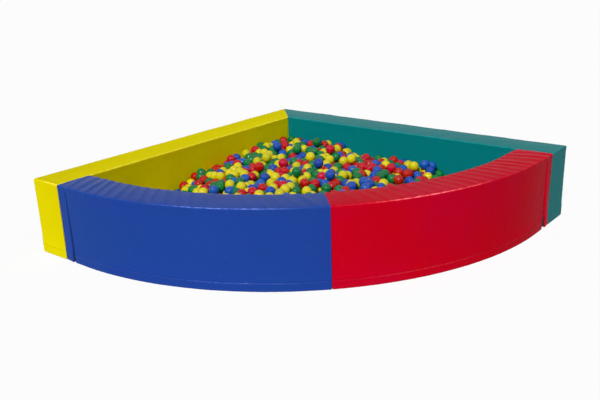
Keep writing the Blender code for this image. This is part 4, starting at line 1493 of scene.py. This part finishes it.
def keep_in_pit(spots):
    """Moves ball middles back inside the walls' faces and above the mat."""
    straight = WALL_THICKNESS + BALL_RADIUS + WALL_CLEARANCE
    off = BALL_RADIUS + np.where(spots[:, 2] < ZIP_LEVEL, ZIP_CLEARANCE, CURVE_CLEARANCE)
    limit = CURVE_CENTRE + INNER_RADIUS - off
    spots[:, 0] = np.clip(spots[:, 0], straight, limit)
    spots[:, 1] = np.clip(spots[:, 1], straight, limit)
    out = spots[:, :2] - CURVE_CENTRE
    radius = np.hypot(out[:, 0], out[:, 1])
    past = (out.min(axis=1) > 0) & (radius > INNER_RADIUS - off)
    share = np.where(past, (INNER_RADIUS - off) / np.maximum(radius, TINY), 1)
    spots[:, :2] = CURVE_CENTRE + out * share[:, None]
    spots[:, 2] = np.maximum(spots[:, 2], MAT_TOP + BALL_RADIUS)


def near_pairs(spots, reach):
    """Numbers of the balls whose middles are nearer than reach."""
    rows = []
    for start in range(0, len(spots), PAIR_BATCH):
        gaps = ((spots[start : start + PAIR_BATCH, None] - spots[None]) ** 2).sum(axis=2)
        first, second = np.nonzero(gaps < reach * reach)
        first += start
        rows.append(np.stack((first, second))[:, first < second])
    return np.concatenate(rows, axis=1)


def push_apart(spots, pairs):
    """Moves balls that overlap away from each other, by half the overlap each."""
    first, second = pairs
    way = spots[first] - spots[second]
    gap = np.maximum(np.linalg.norm(way, axis=1), LEAST_GAP)
    push = np.maximum(BALL_DIAMETER - gap, 0) / gap / 2
    touching = push > 0
    first, second = first[touching], second[touching]
    shift = way[touching] * push[touching, None]
    count = len(spots)
    meetings = np.bincount(first, minlength=count) + np.bincount(second, minlength=count)
    meetings = np.sqrt(np.maximum(meetings, 1))
    for axis in range(3):
        total = np.bincount(first, shift[:, axis], count) - np.bincount(second, shift[:, axis], count)
        spots[:, axis] += total / meetings


def clear_of_loose(spots, loose):
    """Keeps balls from under the loose ones and out of their way upwards."""
    way = spots[:, None] - loose[None]
    way[:, :, 2] = np.minimum(way[:, :, 2], 0)
    gap = np.maximum(np.linalg.norm(way, axis=2), LEAST_GAP)
    push = np.maximum(BALL_DIAMETER + 2 * TOUCH_GAP - gap, 0) / gap
    spots += (way * push[:, :, None]).sum(axis=1)


def in_pit(x, y, margin):
    """Whether a place is at least margin metres inside the walls' inner faces."""
    reach = CORNER_Y - y
    left, right = (reach - x) * HALF_ROOT, (reach + x) * HALF_ROOT
    if min(left, right) < WALL_THICKNESS + margin or max(left, right) > WALL_LENGTH - WALL_THICKNESS - margin:
        return False
    if min(left, right) < CURVE_CENTRE:
        return True
    return math.hypot(left - CURVE_CENTRE, right - CURVE_CENTRE) < INNER_RADIUS - margin


def top_balls(loose):
    """Middles of the top balls: shaken out of a honeycomb, some sunk, then pushed apart."""
    columns = int(WALL_LENGTH / BALL_DIAMETER)
    rows = int(2 * CORNER_Y / ROW_PITCH)
    rest = []
    for row in range(rows + 1):
        for column in range(-columns, columns + 1):
            x, y = (column + row % 2 / 2) * BALL_DIAMETER, CORNER_Y - row * ROW_PITCH
            if in_pit(x, y, HEAP_CLEARANCE + CELL_RADIUS):
                reach = CORNER_Y - y
                height = heap_top((reach - x) * HALF_ROOT, (reach + x) * HALF_ROOT)
                rest.append((x, y, height))
    rest = np.array(rest)
    seats = np.linalg.norm(rest[:, None, :2] - loose[None, :, :2], axis=2).min(axis=1)
    held = seats < CELL_RADIUS * SEAT_REACH
    random = np.random.default_rng(SEEDS["top layer"])
    shift = random.uniform(-1, 1, rest.shape) * (BALL_SHIFT, BALL_SHIFT, BALL_RISE)
    shift[:, 2] -= BALL_SINK * (random.random(len(rest)) < SUNK_SHARE)
    for _ in range(LAYER_ROUNDS):
        shift[held] = 0
        sideways = np.hypot(shift[:, 0], shift[:, 1])
        shift[:, :2] *= (BALL_SHIFT / np.maximum(sideways, BALL_SHIFT))[:, None]
        shift[:, 2] = np.clip(shift[:, 2], -BALL_SINK - BALL_RISE, BALL_RISE)
        middles = rest + shift
        way = middles[:, None] - np.concatenate((middles, loose))[None]
        gap = np.linalg.norm(way, axis=2)
        push = np.maximum(BALL_DIAMETER - gap, 0) / BALL_DIAMETER / 2
        shift = shift + (way * push[:, :, None]).sum(axis=1)
    return middles


def from_world(points):
    """Distances along both straight walls and a height, for places in the model's frame."""
    x, y, height = points.T
    reach = CORNER_Y - y
    return np.column_stack(((reach - x) * HALF_ROOT, (reach + x) * HALF_ROOT, height))


def poured(top, count):
    """Random places beneath the top balls and inside the walls."""
    random = np.random.default_rng(SEEDS["pour"])
    near, reach = WALL_THICKNESS + BALL_RADIUS, CURVE_CENTRE + INNER_RADIUS - BALL_RADIUS
    low, high = POUR_LEVELS
    spots = np.empty((0, 3))
    while len(spots) < count:
        drawn = random.uniform((near, near, low), (reach, reach, high), (3 * count, 3))
        inside = np.hypot(*np.maximum(drawn[:, :2] - CURVE_CENTRE, 0).T) < INNER_RADIUS - BALL_RADIUS
        inside &= drawn[:, 2] < heap_top(drawn[:, 0], drawn[:, 1]) - BALL_RADIUS / 2
        drawn = drawn[inside]
        off = np.linalg.norm(drawn[:, None, :2] - top[None, :, :2], axis=2)
        lids = np.where(off < BALL_DIAMETER * LID_REACH, top[None, :, 2] - BALL_DIAMETER * LID_DROP, np.inf)
        spots = np.concatenate((spots, drawn[drawn[:, 2] < lids.min(axis=1)]))
    return spots[:count]


def lower_balls(top, loose, spread_rounds, rest_rounds):
    """Middles of the balls beneath, poured under the top ones and up to the walls, and pushed apart."""
    fixed = len(top)
    spots = np.concatenate((top, poured(top, HEAP_BALLS - fixed)))
    for turn in range(spread_rounds + rest_rounds):
        if turn % PAIR_TURNS == 0:
            pairs = near_pairs(spots, BALL_DIAMETER * PAIR_REACH)
        for _ in range(PUSHES):
            push_apart(spots, pairs)
            clear_of_loose(spots, loose)
            spots[:, 2] = np.minimum(spots[:, 2], heap_top(spots[:, 0], spots[:, 1]) + BALL_RISE)
            keep_in_pit(spots)
            spots[:fixed] = top
        if turn < spread_rounds:
            spots[fixed:, 2] -= SINKING
    return spots[fixed:]


def box_middle(name):
    low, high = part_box(name)
    return (low + high) / 2


def hidden(spots):
    """Whether each ball is covered by higher ones close to it."""
    pairs = near_pairs(spots, BALL_DIAMETER * SHADE_REACH)
    above = spots[pairs[0], 2] > spots[pairs[1], 2]
    upper = np.where(above, pairs[0], pairs[1])
    under = np.where(above, pairs[1], pairs[0])
    rise = spots[upper, 2] - spots[under, 2]
    shade = np.bincount(under, np.clip(rise / BALL_DIAMETER - SHADE_START, 0, 1), len(spots))
    return shade >= HIDDEN_FROM


def ball_heap():
    """The heap as separate balls, joined in pieces by colour and by whether they show."""
    names = list(BALL_COLOURS)
    loose = np.array([box_middle(f"{name}_ball_{number}") for name in names for number in (1, 2, 3)])
    top = from_world(top_balls(loose))
    lower = lower_balls(top, from_world(loose), *POUR_ROUNDS)
    spots = np.concatenate((top, lower))
    shown = ~hidden(spots)
    shown[: len(top)] = True
    random = np.random.default_rng(SEEDS["mixed colours"])
    colours = random.choice(len(names), len(spots), p=[BALL_SHARES[name] for name in names])
    middles = world("left", *spots.T)
    for number, name in enumerate(names):
        for layer, chosen, cuts in (("top", shown, TOP_CUTS), ("lower", ~shown, LOWER_CUTS)):
            chosen = middles[(colours == number) & chosen]
            seed = SEEDS["heap"] + number + 10 * cuts
            piece = balls_piece(f"{name}_balls_{layer}", name, chosen, cuts, seed)
            belongs(piece, "heap", "mixed_balls", "ball_heap")


def loose_balls():
    """The twelve balls on top that lift out by themselves."""
    for turn, colour in enumerate(BALL_COLOURS):
        for number, letter in enumerate("abc", 1):
            node = f"{colour}_ball_{number}"
            middle = np.array([box_middle(node)])
            seed = SEEDS["loose balls"] + number + 5 * turn
            piece = balls_piece(f"{node}_moulded", colour, middle, LOOSE_CUTS, seed)
            belongs(piece, f"{colour}_ball_{letter}", f"{colour}_ball", node)


# Floor, light and camera

def floor_and_background():
    """A white floor that keeps the pit's soft shadow, and a white world."""
    material = bpy.data.materials.new("pale_floor")
    material.use_nodes = True
    tree = material.node_tree
    tree.nodes.clear()
    colour = mix_colour(tree, seen_directly(tree), FLOOR_BOUNCE, FLOOR_WHITE)
    shaded = put(tree, "ShaderNodeBsdfDiffuse", {"Color": colour})
    plain = put(tree, "ShaderNodeEmission", {"Color": WHITE, "Strength": 1.0})
    glow = maths(tree, "MULTIPLY", seen_directly(tree), FLOOR_GLOW)
    mixed = put(tree, "ShaderNodeMixShader", {0: glow, 1: shaded.outputs[0], 2: plain.outputs[0]})
    put(tree, "ShaderNodeOutputMaterial", {"Surface": mixed.outputs[0]})
    corners = FLOOR_SIZE * np.array(((-1, -1, 0), (1, -1, 0), (1, 1, 0), (-1, 1, 0)))
    mesh_of("floor", corners, np.array(((0, 1, 2, 3),)), material)
    surroundings = bpy.data.worlds.new("soft studio")
    bpy.context.scene.world = surroundings
    surroundings.use_nodes = True
    tree = surroundings.node_tree
    strength = maths(tree, "MULTIPLY_ADD", seen_directly(tree), 1 - AMBIENT, AMBIENT)
    feed(tree, tree.nodes["Background"], {"Color": WHITE, "Strength": strength})


def seen_directly(tree):
    """One for rays from the camera and from gloss or glass, zero for the light that falls on things."""
    path = put(tree, "ShaderNodeLightPath")
    glossy = maths(tree, "MAXIMUM", path.outputs["Is Camera Ray"], path.outputs["Is Glossy Ray"])
    return maths(tree, "MAXIMUM", glossy, path.outputs["Is Transmission Ray"])


def far_lamp(name, azimuth, elevation, width, strength):
    """A wide, far lamp; azimuth is in degrees to the right of the front, width in degrees as seen."""
    lamp = bpy.data.lights.new(name, "SUN")
    lamp.angle = math.radians(width)
    lamp.energy = strength * math.pi
    around, up = math.radians(azimuth), math.radians(elevation)
    way = Vector((math.sin(around) * math.cos(up), -math.cos(around) * math.cos(up), math.sin(up)))
    in_scene(name, lamp).matrix_world = way.to_track_quat("Z", "Y").to_matrix().to_4x4()


def camera():
    """The photograph's view: its place in metres and its turns, worked out from the pit's corners."""
    yaw, pitch, roll = (math.radians(turn) for turn in CAMERA_TURNS)
    ahead = Vector((math.sin(yaw) * math.cos(pitch), math.cos(yaw) * math.cos(pitch), -math.sin(pitch)))
    right = ahead.cross(Vector((0, 0, 1))).normalized()
    up = right.cross(ahead)
    rolled_right = math.cos(roll) * right + math.sin(roll) * up
    rolled_up = -math.sin(roll) * right + math.cos(roll) * up
    turned = Matrix((rolled_right, rolled_up, -ahead)).transposed().to_4x4()
    data = bpy.data.cameras.new("photo view")
    data.sensor_width = SENSOR_WIDTH
    data.lens = LENS
    piece = in_scene("photo view", data)
    piece.matrix_world = Matrix.Translation(CAMERA_PLACE) @ turned
    bpy.context.scene.camera = piece


MATERIALS = {
    "yellow_vinyl": vinyl("yellow_vinyl", YELLOW, gloss=0.0, coat=0.01),
    "green_vinyl": vinyl("green_vinyl", GREEN, gloss=0.010, coat=0.01),
    "blue_vinyl": vinyl("blue_vinyl", BLUE, gloss=0.015, coat=0.04),
    "red_vinyl": vinyl("red_vinyl", RED, gloss=0.005, coat=0.025),
    "mat_vinyl": vinyl("mat_vinyl", MAT_BLUE),
    "foam": foam_material(),
    "zip": woven("zip_tape", ZIP_BLACK, thread=5200.0, depth=0.0002),
    "zip_teeth": vinyl("zip_teeth", ZIP_BLACK),
    "zip_metal": zinc_material(),
    # Dark cloth that paints shade in the wedges.
    "shade_sheet": woven("shade_sheet", SHADE_SHEET_BLACK, thread=2600.0, depth=0.0001),
    "hook_tape": pile_material("hook_tape", fineness=1500.0),
    "loop_tape": pile_material("loop_tape", fineness=700.0),
}
for colour_name, colour_value in BALL_COLOURS.items():
    MATERIALS[f"{colour_name}_ball"] = ball_material(f"{colour_name}_ball", colour_value)


def build():
    camera()
    for side in SIDES:
        straight_hood(side)
        curved_hood(side)
        foam_core(side, "end_pad")
        wedge_shade_sheet(side)
        for kind in ("wall", "curve"):
            tray(side, kind)
            foam_core(side, kind)
            zip_tape(side, kind)
            zip_teeth(side, kind)
            zip_slider(side, kind)
    touch_tapes()
    floor_mats()
    ball_heap()
    loose_balls()
    floor_and_background()
    for name, settings in LAMPS.items():
        far_lamp(name, *settings)


build()
bpy.context.scene.view_settings.view_transform = "Standard"
